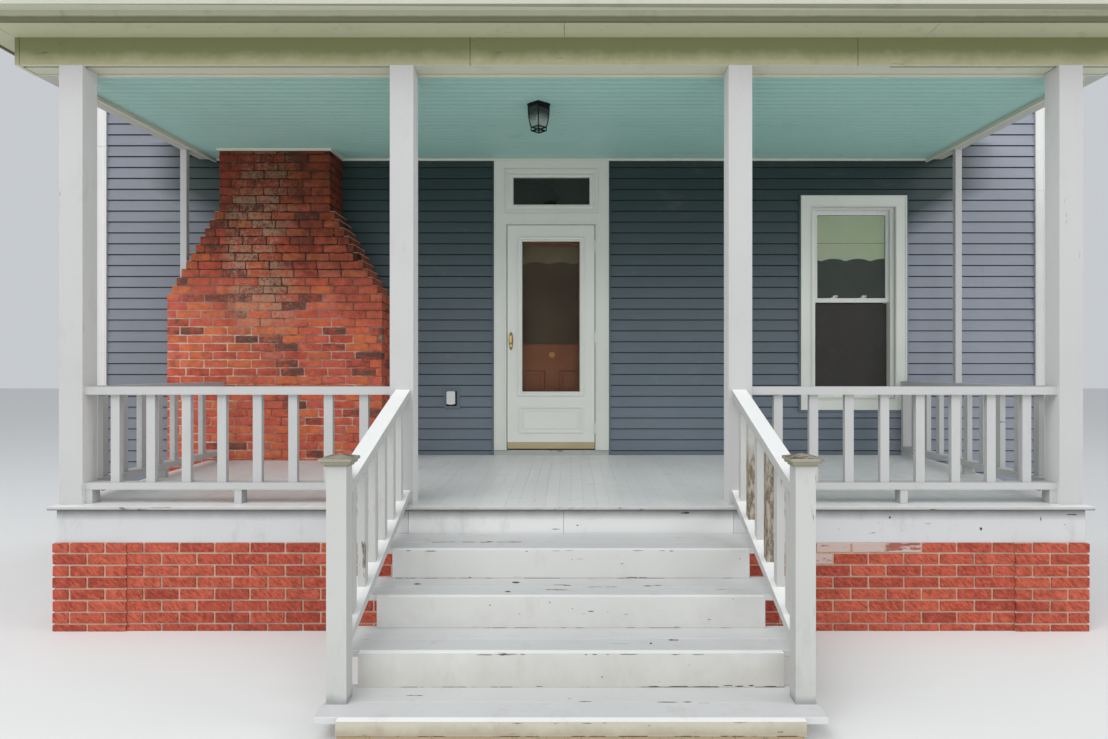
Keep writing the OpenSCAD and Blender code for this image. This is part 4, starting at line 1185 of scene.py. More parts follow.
@dataclass
class Foundations(Assembly):
    """Brick foundations under the porch and the house.

    Attributes:
        tuck: How far the walls run behind the piers.
        cut: Height of the cut bricks on top of the porch's walls and piers.
        house_cut: Height of those on top of the house's base.
        peeled: (x0, x1, z0, z1) areas of the porch's front with old paint on them.
    """

    course: float = 0.072
    brick: float = 0.217
    joint: float = 0.012
    bed: float = 0.09
    recess: float = 0.007
    wall: float = 0.2
    pier: float = 0.45
    tuck: float = 0.01
    cut: float = 0.061
    house_cut: float = 0.02
    peeled: tuple[Quad, ...] = ((0.9, 2.2, 0.49, 0.7), (1.38, 1.62, 0.42, 0.47))

    def build(self) -> None:
        """Lays the porch foundation, its piers and the base of the house wall."""
        self.porch_walls()
        self.piers()
        self.house_base()

    def lay(self, draft: Draft, low: Spot, high: Spot, sides: Iterable[Side], cut: float,
            peeled: Sequence[Quad] = ()) -> None:
        """Faces a block with brick on the sides asked for.

        Args:
            draft: Where the bricks go.
            low: Lowest corner of the block.
            high: Highest corner.
            sides: The sides.
            cut: Height of the cut bricks on top.
            peeled: (x0, x1, z0, z1) areas with old paint on them.
        """
        layer = BrickLayer(draft, self.course, self.brick, self.joint, peeled=peeled)
        ins = {side: self.recess if side in sides else 0.0 for side in Side}
        draft.box((low[0] + ins[Side.LEFT], low[1] + ins[Side.FRONT], low[2]),
                  (high[0] - ins[Side.RIGHT], high[1] - ins[Side.BACK], high[2]), 0.5, 1)
        near = low[1] + (0.1 if Side.FRONT in sides else 0.0)
        far = high[1] - (0.1 if Side.BACK in sides else 0.0)
        rows = {
            Side.FRONT: (Axis.X, low[0], high[0], low[1], low[1] + self.bed),
            Side.BACK: (Axis.X, low[0], high[0], high[1], high[1] - self.bed),
            Side.LEFT: (Axis.Y, near, far, low[0], low[0] + self.bed),
            Side.RIGHT: (Axis.Y, near, far, high[0], high[0] - self.bed),
        }
        number = 0
        top = high[2] - cut
        z = top - math.ceil(top / self.course) * self.course
        while z < high[2] - 0.012:
            for side, row in rows.items():
                if side in sides:
                    layer.row(*row, z, high[2], 0.5 * (number % 2 if row[0] is Axis.X else 1 - number % 2))
            z += self.course
            number += 1

    def porch_walls(self) -> None:
        """Faces the walls between the piers."""
        (x0, y0, _), (x1, y1, top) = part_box("foundation_walls")
        pier = self.pier - self.tuck
        draft = Draft("foundation_brickwork", 21)
        high = (x1 - pier, y0 + self.wall, top)
        self.lay(draft, (x0 + pier, y0, 0), high, [Side.FRONT], self.cut, self.peeled)
        self.lay(draft, (x1 - self.wall, y0 + pier, 0), (x1, y1, top), [Side.RIGHT], self.cut)
        chimney_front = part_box("chimney")[0][1]
        self.lay(draft, (x0, y0 + pier, 0), (x0 + self.wall, chimney_front, top), [Side.LEFT], self.cut)
        finishes = ["foundation", "foundation_mortar", "peeled"]
        draft.finish(finishes, ["foundation_walls"], "foundation_brick", 0.003, 1)

    def piers(self) -> None:
        """Faces the two corner piers."""
        (x0, y0, _), (x1, y1, top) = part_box("foundation_piers")
        draft = Draft("pier_brickwork", 22)
        self.lay(draft, (x0, y0, 0), (x0 + self.pier, y1, top), [Side.FRONT, Side.LEFT], self.cut)
        self.lay(draft, (x1 - self.pier, y0, 0), (x1, y1, top), [Side.FRONT, Side.RIGHT], self.cut)
        draft.finish(["foundation", "foundation_mortar"], ["foundation_piers"], "foundation_brick", 0.003, 1)

    def house_base(self) -> None:
        """Faces the base of the house wall on all four sides."""
        draft = Draft("house_base_brickwork", 23)
        self.lay(draft, *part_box("house_foundation"), list(Side), self.house_cut)
        draft.finish(["foundation", "foundation_mortar"], ["house_foundation"], "foundation_brick", 0.003, 1)


@dataclass
class HouseWall(Assembly):
    """Siding, corner posts and the framed wall behind them.

    Attributes:
        rise: Height of a lap's lower edge over the back of the deck.
        deep: How much thinner a course is at its upper edge.
        shadow: Height of the band of painted shade at the top of each course, under the lap above.
        slips: Heights of the slip joints of the left and the right post.
    """

    lap: float = 0.1016
    rise: float = 0.042
    deep: float = 0.012
    shadow: float = 0.0065
    channel: float = 0.019
    post: float = 0.093
    skin: float = 0.02
    slips: Pair = (3.678, 3.268)

    def build(self) -> None:
        """Makes the siding and dresses the wall."""
        for part in ("left", "middle", "right", "at_door", "at_window"):
            self.paint("plaster", 0.0, 0, f"wall_{part}")
        self.siding()
        self.channels()
        self.corner_posts()

    def gaps(self) -> list[Quad]:
        """Openings in the siding as (x0, x1, z0, z1).

        Returns:
            The gaps of the door and of the window.
        """
        door_low, door_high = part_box("door_casing")
        window_low, window_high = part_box("window_casing")
        return [
            (door_low[0], door_high[0], self.plan.deck_back, door_high[2]),
            (window_low[0], window_high[0], window_low[2], window_high[2]),
        ]

    def chimney_gap(self, z: float) -> Pair:
        """Stretch of the wall that the chimney covers at a height.

        Args:
            z: The height.

        Returns:
            The lowest and highest X of the stretch.
        """
        (x0, _, _), (x1, _, _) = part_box("chimney")
        middle, half = (x0 + x1) / 2, (x1 - x0) / 2
        share = min(1.0, max(0.0, (z - SHOULDER_FOOT) / SHOULDER_RISE))
        reach = half + (STACK - half) * share - 0.06
        return middle - reach, middle + reach

    def siding(self) -> None:
        """Laps the siding round the openings."""
        (x0, _, z0), (x1, _, z1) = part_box("siding")
        draft = Draft("siding_courses", 31)
        gaps = self.gaps()
        level = self.plan.deck_back + self.rise
        z = level - math.ceil((level - z0) / self.lap) * self.lap
        number = 0
        while z < z1 - 0.002:
            foot, head = max(z, z0), min(z + self.lap, z1)
            cuts = sorted({foot, head} | {v for g in gaps for v in g[2:] if foot < v < head})
            if number % 2 == 0:
                splice = [draft.rng.uniform(-4.0, -1.0), draft.rng.uniform(0.6, 4.0)]
                tone = draft.rng.random()
            for low, high in zip(cuts, cuts[1:]):
                middle = (low + high) / 2
                holes = [g[:2] for g in gaps if g[2] < middle < g[3]]
                holes.append(self.chimney_gap(middle))
                for a, b in free_spans(x0, x1, holes):
                    stops = [a] + [s for s in splice if a + 0.25 < s < b - 0.25] + [b]
                    for i, (p, q) in enumerate(zip(stops, stops[1:])):
                        self.strip(draft, (p, low), (q, high), z, tone, 0.0011 * (i % 2))
            z += self.lap
            number += 1
        draft.box((x0, self.plan.y(-0.001), z1 - 0.004), (x1, self.plan.y(-0.02), z1), 0.5)
        draft.finish(["siding"], ["siding"], "vinyl_siding")

    def strip(self, draft: Draft, start: Pair, end: Pair, course: float, tone: float, out: float) -> None:
        """One stretch of a course, thickest at its lower edge.

        Args:
            draft: Where the faces go.
            start: Left end and lower edge.
            end: Right end and upper edge.
            course: Height of the whole course's lower edge.
            tone: Value for the material.
            out: How far this stretch stands out over its neighbour.
        """
        y = self.plan.y
        (x0, low), (x1, high) = start, end
        # Tone 2 is painted shade on each lap's underside, on the band under the lap above and on the ends at
        # splices; 1.8 a lighter painted shade on the lap's lower lip.
        crease_shade, under = 2.0, 1.8

        def depth(z: float) -> float:
            """Depth of the course's face at a height."""
            return -self.deep * ((z - course) / self.lap) - 0.0013 + out

        rows = [(low, depth(low), tone)]
        if abs(low - course) < 1e-6:
            rows = [(low - 0.002, -self.deep - 0.005, crease_shade), (low, -0.0025 + out, crease_shade)]
            rows += [(z, depth(z), shade) for z, shade in ((low + 0.0024, under), (low + 0.012, tone))]
        shadow = course + self.lap - self.shadow
        if high > shadow > low + 0.012:
            rows += [(shadow, depth(shadow), tone), (high, depth(high) - 0.003, crease_shade)]
        else:
            rows.append((high, depth(high), tone))
        for (za, da, _), (zb, db, shade) in zip(rows, rows[1:]):
            draft.face([(x0, y(da), za), (x1, y(da), za), (x1, y(db), zb), (x0, y(db), zb)], shade)
        if out and len(rows) > 2:
            back = y(-self.deep - 0.003)
            (za, da, _), (zb, db, _) = rows[-3], rows[-2]
            draft.face([(x0, y(da), za), (x0, y(db), zb), (x0, back, zb), (x0, back, za)], crease_shade)

    def channels(self) -> None:
        """Channels that receive the siding beside the casings and the outlet."""
        draft = Draft("siding_channels", 32)
        wide, near, back = self.channel, self.plan.y(0.004), self.plan.y(-0.016)
        flush = self.plan.y(0.003)
        for x0, x1, z0, z1 in self.gaps():
            for a, b in ((x0 - wide, x0), (x1, x1 + wide)):
                draft.box((a, near, z0), (b, back, z1 - 0.002), 0.4)
            if z0 > 1.0:
                draft.box((x0 - wide, near, z1), (x1 + wide, back, z1 + wide), 0.4)
                draft.box((x0 - wide, flush, z0 - wide), (x1 + wide, back, z0), 0.4)
        (x0, _, z0), (x1, _, z1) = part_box("outlet_cover")
        draft.box((x0 - 0.018, flush, z0 - 0.015), (x1 + 0.018, back, z1 + 0.022), 0.4)
        draft.finish(["siding"], (), "vinyl_siding", 0.002, 1)

    def corner_posts(self) -> None:
        """Corner posts with their slip joints and ribs."""
        (x0, y0, z0), (x1, y1, z1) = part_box("house_corner_posts")
        draft = Draft("corner_post_covers", 33)
        back = self.plan.y(-self.skin)
        for sign, outer, joint in ((-1, x0, self.slips[0]), (1, x1, self.slips[1])):
            for low, high, grow in ((z0, joint, 0.0), (joint + 0.0015, z1, -0.0012)):
                face = y0 - grow
                inner = outer - sign * (self.post + grow)
                a, b = sorted((inner, outer))
                draft.box((a, face, low), (b, back, high), 0.4)
                a, b = sorted((outer - sign * self.skin, outer))
                draft.box((a, back, low), (b, y1, high), 0.4)
                for edge, way in ((inner, sign), (outer, -sign)):
                    a, b = sorted((edge + way * 0.012, edge + way * 0.02))
                    draft.box((a, face - 0.0016, low), (b, face + 0.001, high), 0.3)
        draft.finish(["white_vinyl"], ["house_corner_posts"], "white_vinyl", 0.002)


def free_spans(start: float, end: float, holes: Iterable[Pair]) -> list[Pair]:
    """Stretches between start and end that no hole covers.

    Args:
        start: Lowest value.
        end: Highest value.
        holes: Covered stretches.

    Returns:
        The free stretches in order.
    """
    spans = []
    at = start
    for low, high in sorted(holes):
        if low > at:
            spans.append((at, min(low, end)))
        at = max(at, high)
    if at < end:
        spans.append((at, end))
    return spans


@dataclass
class Deck(Assembly):
    """Deck boards, skirt and joists.

    Attributes:
        seat: How far the skirt ends under the deck's surface.
    """

    board: float = 0.0822
    skirt_board: float = 0.025
    seat: float = 0.0222
    seam: float = -0.046

    def build(self) -> None:
        """Makes the deck."""
        self.paint("lumber", 0.002, 1, "deck_joists")
        self.floor()
        self.skirt()

    def floor(self) -> None:
        """Narrow boards from the wall to a rounded nosing."""
        (x0, _, _), (x1, _, _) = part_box("deck_floor")
        plan, front, radius = self.plan, self.plan.deck_depth, DECK_BOARD / 2
        chimney_low, chimney_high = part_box("chimney")
        edge = chimney_high[0] + 0.005
        chimney_front = plan.depth(chimney_low[1]) + 0.005
        count = round((x1 - x0) / self.board)
        step = (x1 - x0) / count
        draft = Draft("deck_boards", 41)
        for i in range(count):
            a, b = x0 + i * step, x0 + (i + 1) * step
            pieces = [(a, b, 0.0 if a >= edge else chimney_front)]
            if a < edge < b:
                pieces = [(a, edge, chimney_front), (edge, b, 0.0)]
            tone = draft.rng.random()
            lift = draft.rng.uniform(-0.0006, 0.0)
            for low, high, back in pieces:
                outline = [(plan.y(back), plan.deck(back) - DECK_BOARD)]
                for k in range(7):
                    turn = -math.pi / 2 + math.pi * k / 6
                    d = front - radius + radius * math.cos(turn)
                    outline.append((plan.y(d), plan.deck(front) - radius + radius * math.sin(turn)))
                outline.append((plan.y(back), plan.deck(back)))
                draft.prism([(y, z + lift) for y, z in outline], low + 0.0002, high - 0.0002, tone)
        # Slot 1, the nosing's underside, is near black: painted shade. Slot 2, its rounded front, is a darker
        # grey.
        for face in draft.mesh.faces:
            centre = face.calc_center_median()
            if centre.y < plan.y(front - 0.02):
                drop = plan.deck(front) - centre.z
                face.material_index = 1 if drop > 0.015 else 2 if drop > 0.002 else 0
        draft.finish(["deck", "nosing", "sill"], ["deck_floor"], "deck_paint", 0.0006, 1)

    def skirt(self) -> None:
        """Skirt boards, with the front one in lengths that meet at the stairs and at a seam."""
        (x0, y0, z0), (x1, y1, _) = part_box("deck_skirt")
        draft = Draft("skirt_boards", 42)
        back = y0 + self.skirt_board
        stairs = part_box("stair_risers")[1][0]
        ends = [x0, -stairs, self.seam, stairs, x1]
        for i, (a, b) in enumerate(zip(ends, ends[1:])):
            draft.box((a + 0.0005, y0, z0), (b - 0.0005, back, self.head(y0)), slot=1 if i in (1, 2) else 0)
        near = back + 0.0005
        chimney_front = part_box("chimney")[0][1] - 0.005
        for a, b, far in ((x1 - self.skirt_board, x1, y1), (x0, x0 + self.skirt_board, chimney_front)):
            draft.prism([(near, z0), (far, z0), (far, self.head(far)), (near, self.head(near))], a, b)
        draft.finish(["skirt", "top_riser"], ["deck_skirt"], "white_paint", 0.003)

    def head(self, y: float) -> float:
        """Height of the skirt's upper edge at a Y."""
        return self.plan.deck(self.plan.depth(y)) - self.seat


@dataclass
class Stairs(Assembly):
    """Treads, risers and stringers.

    Attributes:
        low_board: Height of the upper board of the lowest riser.
        scars: (surface, step, chips in its paint), each chip as (x, height or y, length, width) in mm.
    """

    count: int = 4
    rise: float = 0.161
    going: float = 0.341
    riser: float = 0.038
    tread: float = 0.032
    board: float = 0.145
    gap: float = 0.003
    low_board: float = 0.064
    scars: tuple[tuple[Surface, int, tuple[Quad, ...]], ...] = (
        (Surface.SKIRT, 0, (
            (687, 722, 62, 22), (42, 644, 15, 11), (-105, 625, 55, 9), (1961, 708, 17, 47),
            (1885, 663, 17, 8), (1645, 622, 8, 8), (2030, 612, 11, 11), (2195, 656, 41, 7),
            (2518, 626, 19, 36), (2889, 690, 11, 55), (3064, 718, 61, 22), (3034, 646, 8, 14),
        )),
        (Surface.TREAD, 0, ((-547, -788, 578, 23),)),
        (Surface.RISER, 0, (
            (-902, 588, 67, 5), (-793, 587, 84, 7), (-62, 588, 134, 5), (382, 588, 57, 5),
            (537, 587, 101, 7), (293, 514, 24, 7), (-247, 586, 10, 8), (945, 542, 10, 10), (5, 539, 8, 8),
            (371, 438, 101, 7), (-566, 438, 13, 8),
        )),
        (Surface.TREAD, 1, (
            (-280, -1038, 73, 53), (-326, -1238, 25, 42), (-41, -1107, 150, 23), (-83, -1190, 127, 22),
            (158, -1141, 177, 22), (435, -1113, 117, 23), (809, -1190, 86, 16), (-826, -1084, 39, 46),
        )),
        (Surface.RISER, 1, (
            (-421, 391, 12, 6), (4, 374, 9, 9), (100, 357, 37, 9), (-266, 343, 8, 8), (-111, 405, 9, 8),
            (711, 317, 19, 12), (837, 419, 9, 8), (189, 357, 8, 8), (552, 277, 25, 8),
        )),
        (Surface.TREAD, 2, (
            (515, -1478, 44, 37), (385, -1538, 17, 40),
        )),
        (Surface.RISER, 2, (
            (-411, 265, 70, 7), (-308, 265, 90, 6), (-235, 265, 28, 7), (102, 265, 31, 6),
            (173, 265, 31, 6), (292, 265, 73, 7), (482, 265, 59, 6), (616, 265, 73, 6), (69, 264, 11, 8),
            (142, 160, 14, 6), (-137, 116, 62, 8), (510, 115, 267, 7), (763, 117, 211, 10),
            (932, 117, 84, 11), (552, 215, 7, 7), (412, 138, 7, 7),
        )),
        (Surface.TREAD, 3, (
            (-4, -1781, 27, 15), (-723, -1743, 96, 13), (467, -1811, 175, 9), (600, -1823, 67, 9),
            (71, -1805, 67, 9),
        )),
        (Surface.RISER, 3, (
            (-250, 104, 76, 8), (80, 104, 56, 6), (334, 95, 10, 8), (715, 104, 51, 6), (880, 64, 38, 10),
        )),
    )

    def build(self) -> None:
        """Makes the stairs."""
        self.paint("lumber", 0.002, 1, "stair_stringers")
        self.treads()
        self.risers()
        self.chips()

    def chips(self) -> None:
        """Draws the chips as thin ragged patches on the surfaces."""
        draft = Draft("paint_scars", 53)
        for surface, step, chips in self.scars:
            for chip in chips:
                x, v, long, wide = (n / 1000 for n in chip)
                parts = max(1, round(long / 0.06))
                for k in range(parts):
                    half = long / parts / 2 * draft.rng.uniform(0.35, 1.25)
                    centre = x + long * ((k + 0.5 + draft.rng.uniform(-0.35, 0.35)) / parts - 0.5)
                    rise = draft.rng.uniform(-0.35, 0.35) * wide
                    thick = wide / 2 * draft.rng.uniform(0.5, 1.0)
                    outline = []
                    for j in range(16):
                        turn = 2 * math.pi * j / 16
                        reach = thick * draft.rng.uniform(0.3, 1.0)
                        outline.append((centre + half * math.cos(turn), v + rise + reach * math.sin(turn)))
                    draft.face(self.laid(surface, step, outline), draft.rng.random())
        draft.finish(["scar"])

    def laid(self, surface: Surface, step: int, outline: Sequence[Pair]) -> list[Triple]:
        """Lays an outline just over a surface.

        Args:
            surface: The surface.
            step: Number of the step, from the top down.
            outline: (x, y) points for a tread, or (x, z) points.

        Returns:
            The points in space.
        """
        if surface is Surface.TREAD:
            return [(a, b, self.levels()[step] + 0.0004) for a, b in outline]
        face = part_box("deck_skirt")[0][1] if surface is Surface.SKIRT else self.fronts()[step]
        return [(a, face - 0.0004, b) for a, b in outline]

    def levels(self) -> list[float]:
        """Heights of the treads, from the top down."""
        return [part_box("stair_treads")[1][2] - self.rise * i for i in range(self.count)]

    def fronts(self) -> list[float]:
        """Y of the risers' faces, from the top down."""
        return [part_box("stair_risers")[0][1] + self.going * (self.count - 1 - i) for i in range(self.count)]

    def treads(self) -> None:
        """Two boards on each step."""
        (x0, _, _), (x1, y1, _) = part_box("stair_treads")
        draft = Draft("tread_boards", 51)
        backs = [front + self.riser for front in self.fronts()]
        for z, near, far in zip(self.levels(), backs, [y1] + backs):
            for a, b in ((near, near + self.board), (near + self.board + self.gap, far)):
                end = draft.rng.uniform(0.0, 0.006)
                draft.box((x0 + end, a, z - self.tread), (x1 - end, b, z), jitter=0.0006)
        draft.finish(["tread"], ["stair_treads"], "tread_paint", 0.004, 3)

    def risers(self) -> None:
        """A board on edge in front of each tread; the lowest one in two boards."""
        (x0, _, _), (x1, _, _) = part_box("stair_risers")
        draft = Draft("riser_boards", 52)
        levels, fronts = self.levels(), self.fronts()
        feet = levels[1:] + [levels[-1] - self.low_board]
        for z, front, foot in zip(levels, fronts, feet):
            lowest = z == levels[-1]
            draft.box((x0, front, foot), (x1, front + self.riser, z), slot=3 if lowest else 0, jitter=0.0005)
            draft.repaint(z, 0.001, 2)
            # Thin strip at each riser's foot in slot 4: painted shade in the crease.
            draft.box((x0, front - 0.0004, foot), (x1, front + 0.002, foot + 0.0035), 0.5, 4)
        face, head = fronts[-1], feet[-1] - 0.002
        draft.box((x0 + 0.004, face + 0.003, 0.0), (x1 - 0.01, face + self.riser, head), 0.5, 1)
        finishes = ["riser", "skid", "tread_edge", "low_riser", "crease_shade"]
        draft.finish(finishes, ["stair_risers"], "white_paint", 0.0035, 3)


@dataclass
class Railings(Assembly):
    """Posts, railings and newels.

    Attributes:
        first: Distance of the topmost stair baluster from the porch posts.
        spaces: Number of spaces between the stair balusters, over the run from post to newel.
        mossy: Numbers of the balusters with growth on them, on the right.
    """

    first: float = 0.1025
    spaces: float = 6.2
    mossy: tuple[int, ...] = (1, 3)

    def build(self) -> None:
        """Dresses the posts and railings."""
        self.paint("post", 0.004, 3, "porch_posts")
        # The posts' inner sides get a whiter copy of the paint: painted light.
        self.also("porch_posts", "post_side_painted_light", lambda face: face.normal.x * face.center.x < -0.5)
        self.paint("post", 0.003, 2, "roof_props")
        self.paint("rail", 0.003, 2, "front_railings", "side_railings")
        self.paint("stair_rail", 0.004, 3, "stair_railings")
        self.paint("newel", 0.004, 3, "newel_posts")
        self.paint("cap_edge", 0.002, 2, "newel_caps")
        self.also("newel_caps", "cap", lambda face: face.normal.z > 0.3)
        self.also("stair_railings", "rail_top", lambda face: face.normal.z > 0.4)
        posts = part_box("porch_posts")[0][1]
        space = (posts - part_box("newel_posts")[1][1]) / self.spaces
        spots = [posts - self.first - i * space for i in self.mossy]

        def grown(face: bpy.types.MeshPolygon) -> bool:
            """Says whether a face is an upright one of a mossy baluster."""
            upright = face.center.x > 0 and abs(face.normal.z) < 0.3
            return upright and any(abs(face.center.y - spot) < 0.045 for spot in spots)

        self.also("stair_railings", "mossy", grown)


@dataclass
class Roof(Assembly):
    """Beams, ceiling, eave, gutters and shingles.

    Attributes:
        bead: (depth, height) of the bead and groove that repeat twice on a ceiling board.
        foot: Height of a shingle's lower edge over the roof's CAD slab.
        head: Height of its upper edge.
    """

    board: float = 0.0815
    bead: Outline = (
        (0.0, 0.004), (0.0014, 0.0), (0.004, 0.0), (0.0048, 0.003), (0.0058, 0.0006), (0.0088, 0.0),
        (0.0118, 0.0006), (0.0128, 0.003), (0.0138, 0.0),
    )
    beam_seams: Pair = (-0.628, 1.785)
    beam_end: float = 0.03
    soffit_seams: Pair = (-0.04, 2.2)
    slope: float = 0.25
    thick: float = 0.036
    row: float = 0.128
    tab: float = 0.3
    foot: float = 0.0065
    head: float = 0.0022

    def build(self) -> None:
        """Makes the roof."""
        self.ceiling()
        self.front_beam()
        self.paint("side_beam", 0.003, 2, "side_beams")
        self.paint("trim", 0.002, 2, "ceiling_trim")
        self.soffit()
        self.paint("fascia", 0.002, 2, "eave_fascia")
        low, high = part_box("eave_fascia")
        side, front = high[0], -low[1]
        self.paint("gutter", 0.0008, 1, "gutter_front", "gutter_sides")
        # Undersides within 4 cm of the fascia get a lighter enamel; those further out a darker one, as
        # painted shade.
        for node in ("gutter_front", "gutter_sides"):
            self.also(node, "gutter_lip", lambda face: face.normal.z < -0.9)
            self.also(node, "gutter_underside_shade", lambda face: face.normal.z < -0.9 and max(
                abs(face.center.x) - side, -front - face.center.y) > 0.04)
        self.paint("shingle", 0.0, 0, "roof_front", "roof_sides")
        self.shingles()

    def ceiling(self) -> None:
        """Beaded boards that run along the house, round the chimney's stack."""
        (x0, _, _), (x1, _, _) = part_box("ceiling")
        (cx0, cy0, _), (cx1, _, _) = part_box("chimney")
        plan, middle, stack = self.plan, (cx0 + cx1) / 2, STACK + 0.005
        edge = plan.depth(cy0) + 0.005
        draft = Draft("ceiling_boards", 61)
        count = round(plan.ceiling_depth / self.board)
        step = plan.ceiling_depth / count
        for i in range(count):
            far = i * step
            near = far + step
            last = near - 0.0002
            outline = [(plan.y(far), plan.ceiling(far) + CEILING_BOARD)]
            for start in (far, far + step / 2):
                outline += [(plan.y(start + d), plan.ceiling(start + d) + lift) for d, lift in self.bead]
            outline.append((plan.y(last), plan.ceiling(near)))
            outline.append((plan.y(last), plan.ceiling(near) + CEILING_BOARD))
            tone = draft.rng.random()
            spans = [(x0, x1)]
            if far < edge:
                spans = [(x0, middle - stack), (middle + stack, x1)]
                if edge < near:
                    ends = [(plan.y(d), plan.ceiling(d)) for d in (edge, last)]
                    ends += [(y, z + CEILING_BOARD) for y, z in reversed(ends)]
                    draft.prism(ends, middle - stack, middle + stack, tone)
            for a, b in spans:
                draft.prism(outline, a, b, tone)
        draft.finish(["ceiling"], ["ceiling"], "ceiling_paint")

    def front_beam(self) -> None:
        """Frieze boards, core and inner board of the front beam."""
        (x0, y0, z0), (x1, y1, z1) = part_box("front_beam")
        left, right = x0 + self.beam_end, x1 - self.beam_end
        draft = Draft("front_beam_boards", 62)
        seams = [left, *self.beam_seams, right]
        for i, (a, b) in enumerate(zip(seams, seams[1:])):
            draft.box((a + 0.0012, y0 + 0.0012 * (i % 2), z0), (b - 0.0012, y0 + 0.025, z1))
        for a, b in ((x0, left - 0.0015), (right + 0.0015, x1)):
            draft.box((a, y0, z0), (b, y1, z1))
        # Recess between the frieze and the core, in slot 2's near black: painted shade.
        draft.box((left, y0 + 0.025, z0 + 0.02), (right, y0 + 0.05, z1), 0.9, 2)
        draft.box((-1.0, y0 + 0.025, z0 + 0.002), (2.0, y0 + 0.05, z0 + 0.02), 0.4)
        draft.box((left, y0 + 0.05, z0 + 0.003), (right, y1 - 0.022, z1), 0.3)
        draft.box((left, y1 - 0.02, z0), (right, y1, z1), 0.2)
        draft.repaint(z0, 0.01, 1)
        draft.finish(["beam", "beam_under", "nosing"], ["front_beam"], "white_paint", 0.002)

    def soffit(self) -> None:
        """Soffit panels with open seams."""
        (x0, y0, z0), (x1, y1, z1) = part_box("eave_soffit")
        beam_low, beam_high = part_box("front_beam")
        draft = Draft("soffit_panels", 63)
        left, right = beam_low[0] - 0.001, beam_high[0] + 0.001
        stops = [beam_low[0] + 0.001, *self.soffit_seams, beam_high[0] - 0.001]
        for a, b in zip(stops, stops[1:]):
            draft.box((a + 0.001, y0, z0), (b - 0.001, beam_low[1], z1))
        for a, b in ((x0, left), (right, x1)):
            draft.box((a, y0, z0), (b, y1, z1))
        draft.finish(["soffit"], ["eave_soffit"], "white_paint", 0.001, 1)

    def shingles(self) -> None:
        """Shingle tabs on the three slopes, cut round the chimney."""
        (x0, y0, _), (x1, y1, _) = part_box("roof_front")
        stretch = math.hypot(1, self.slope)
        length = (y1 - y0) * stretch
        draft = Draft("roof_shingles", 64)
        (cx0, cy0, _), (cx1, _, _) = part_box("chimney")
        middle, stack = (cx0 + cx1) / 2, STACK + 0.02
        for side in (Side.FRONT, Side.LEFT, Side.RIGHT):
            for k in range(int(length / self.row) + 1):
                v0, v1 = k * self.row, min((k + 1) * self.row, length)
                if v1 - v0 < 0.02:
                    continue
                run = (v0 + v1) / 2 / stretch
                low, high = (x0 + run, x1 - run) if side is Side.FRONT else (y0 + run, y1)
                u = low - draft.rng.uniform(0, self.tab)
                while u < high:
                    a, b = max(u, low), min(u + self.tab, high)
                    u += self.tab
                    if b - a < 0.02:
                        continue
                    tone = draft.rng.random()
                    tops = self.slope_points(side, (a + 0.002, v0), (b - 0.002, v1))
                    if side is Side.LEFT and all(abs(x - middle) < stack + 0.15 and y > cy0 - 0.16
                                                 for x, y, _ in tops):
                        continue
                    lifts = (self.foot, self.foot, self.head, self.head)
                    base = [(x, y, z - lift) for (x, y, z), lift in zip(tops, lifts)]
                    draft.solid([base, tops], tone)
        draft.finish(["shingle"], (), "shingle")

    def slope_points(self, side: Side, low: Pair, high: Pair) -> list[Triple]:
        """Corners of a tab's upper face on one of the three slopes.

        Args:
            side: The slope.
            low: Place of its first lower corner along the eave, and distance up the slope.
            high: The same of the upper corner opposite.

        Returns:
            The four corners, the lower two first.
        """
        (x0, y0, z0), (x1, _, _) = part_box("roof_front")
        corners = []
        for u, v, lift in ((low[0], low[1], self.foot), (high[0], low[1], self.foot),
                           (high[0], high[1], self.head), (low[0], high[1], self.head)):
            run = v / math.hypot(1, self.slope)
            z = z0 + self.thick + run * self.slope + lift
            if side is Side.FRONT:
                corners.append((u, y0 + run, z))
            else:
                corners.append((x0 + run if side is Side.LEFT else x1 - run, u, z))
        return corners


@dataclass(frozen=True)
class Shade:
    """A window shade with a scalloped hem, in one sheet with a stitched line.

    Attributes:
        hem: Height of the scallops' lowest points.
        rise: How far the hem rises between them.
        stitch: Height of the stitched line over the hem.
    """

    hem: float
    rise: float
    scallop: float = 0.231
    stitch: float = 0.17
    steps: int = 96

    def draw(self, draft: Draft, x0: float, x1: float, y: float, top: float) -> None:
        """Draws the shade.

        Args:
            draft: Where the faces go.
            x0: Left edge.
            x1: Right edge.
            y: Plane that it hangs in.
            top: Upper edge.
        """
        stitch = self.hem + self.stitch
        columns = []
        for i in range(self.steps + 1):
            x = x0 + (x1 - x0) * i / self.steps
            wave = abs(math.sin(math.pi * (x - x0 - 0.035) / self.scallop)) ** 0.8
            sway = 0.0015 * math.sin(9 * x)
            low = self.hem + self.rise * wave
            rows = [low, (low + stitch) / 2, stitch - 0.002, stitch, stitch + 0.002, (stitch + top) / 2, top]
            dents = [0.0, 0.0006, 0.0, 0.0022, 0.0, 0.0006, 0.0]
            columns.append([draft.mesh.verts.new((x, y + sway + dent, z)) for z, dent in zip(rows, dents)])
        for a, b in zip(columns, columns[1:]):
            for k in range(len(a) - 1):
                face = draft.mesh.faces.new((a[k], b[k], b[k + 1], a[k + 1]))
                face[draft.tone] = 1.85 if k in (2, 3) else 0.3


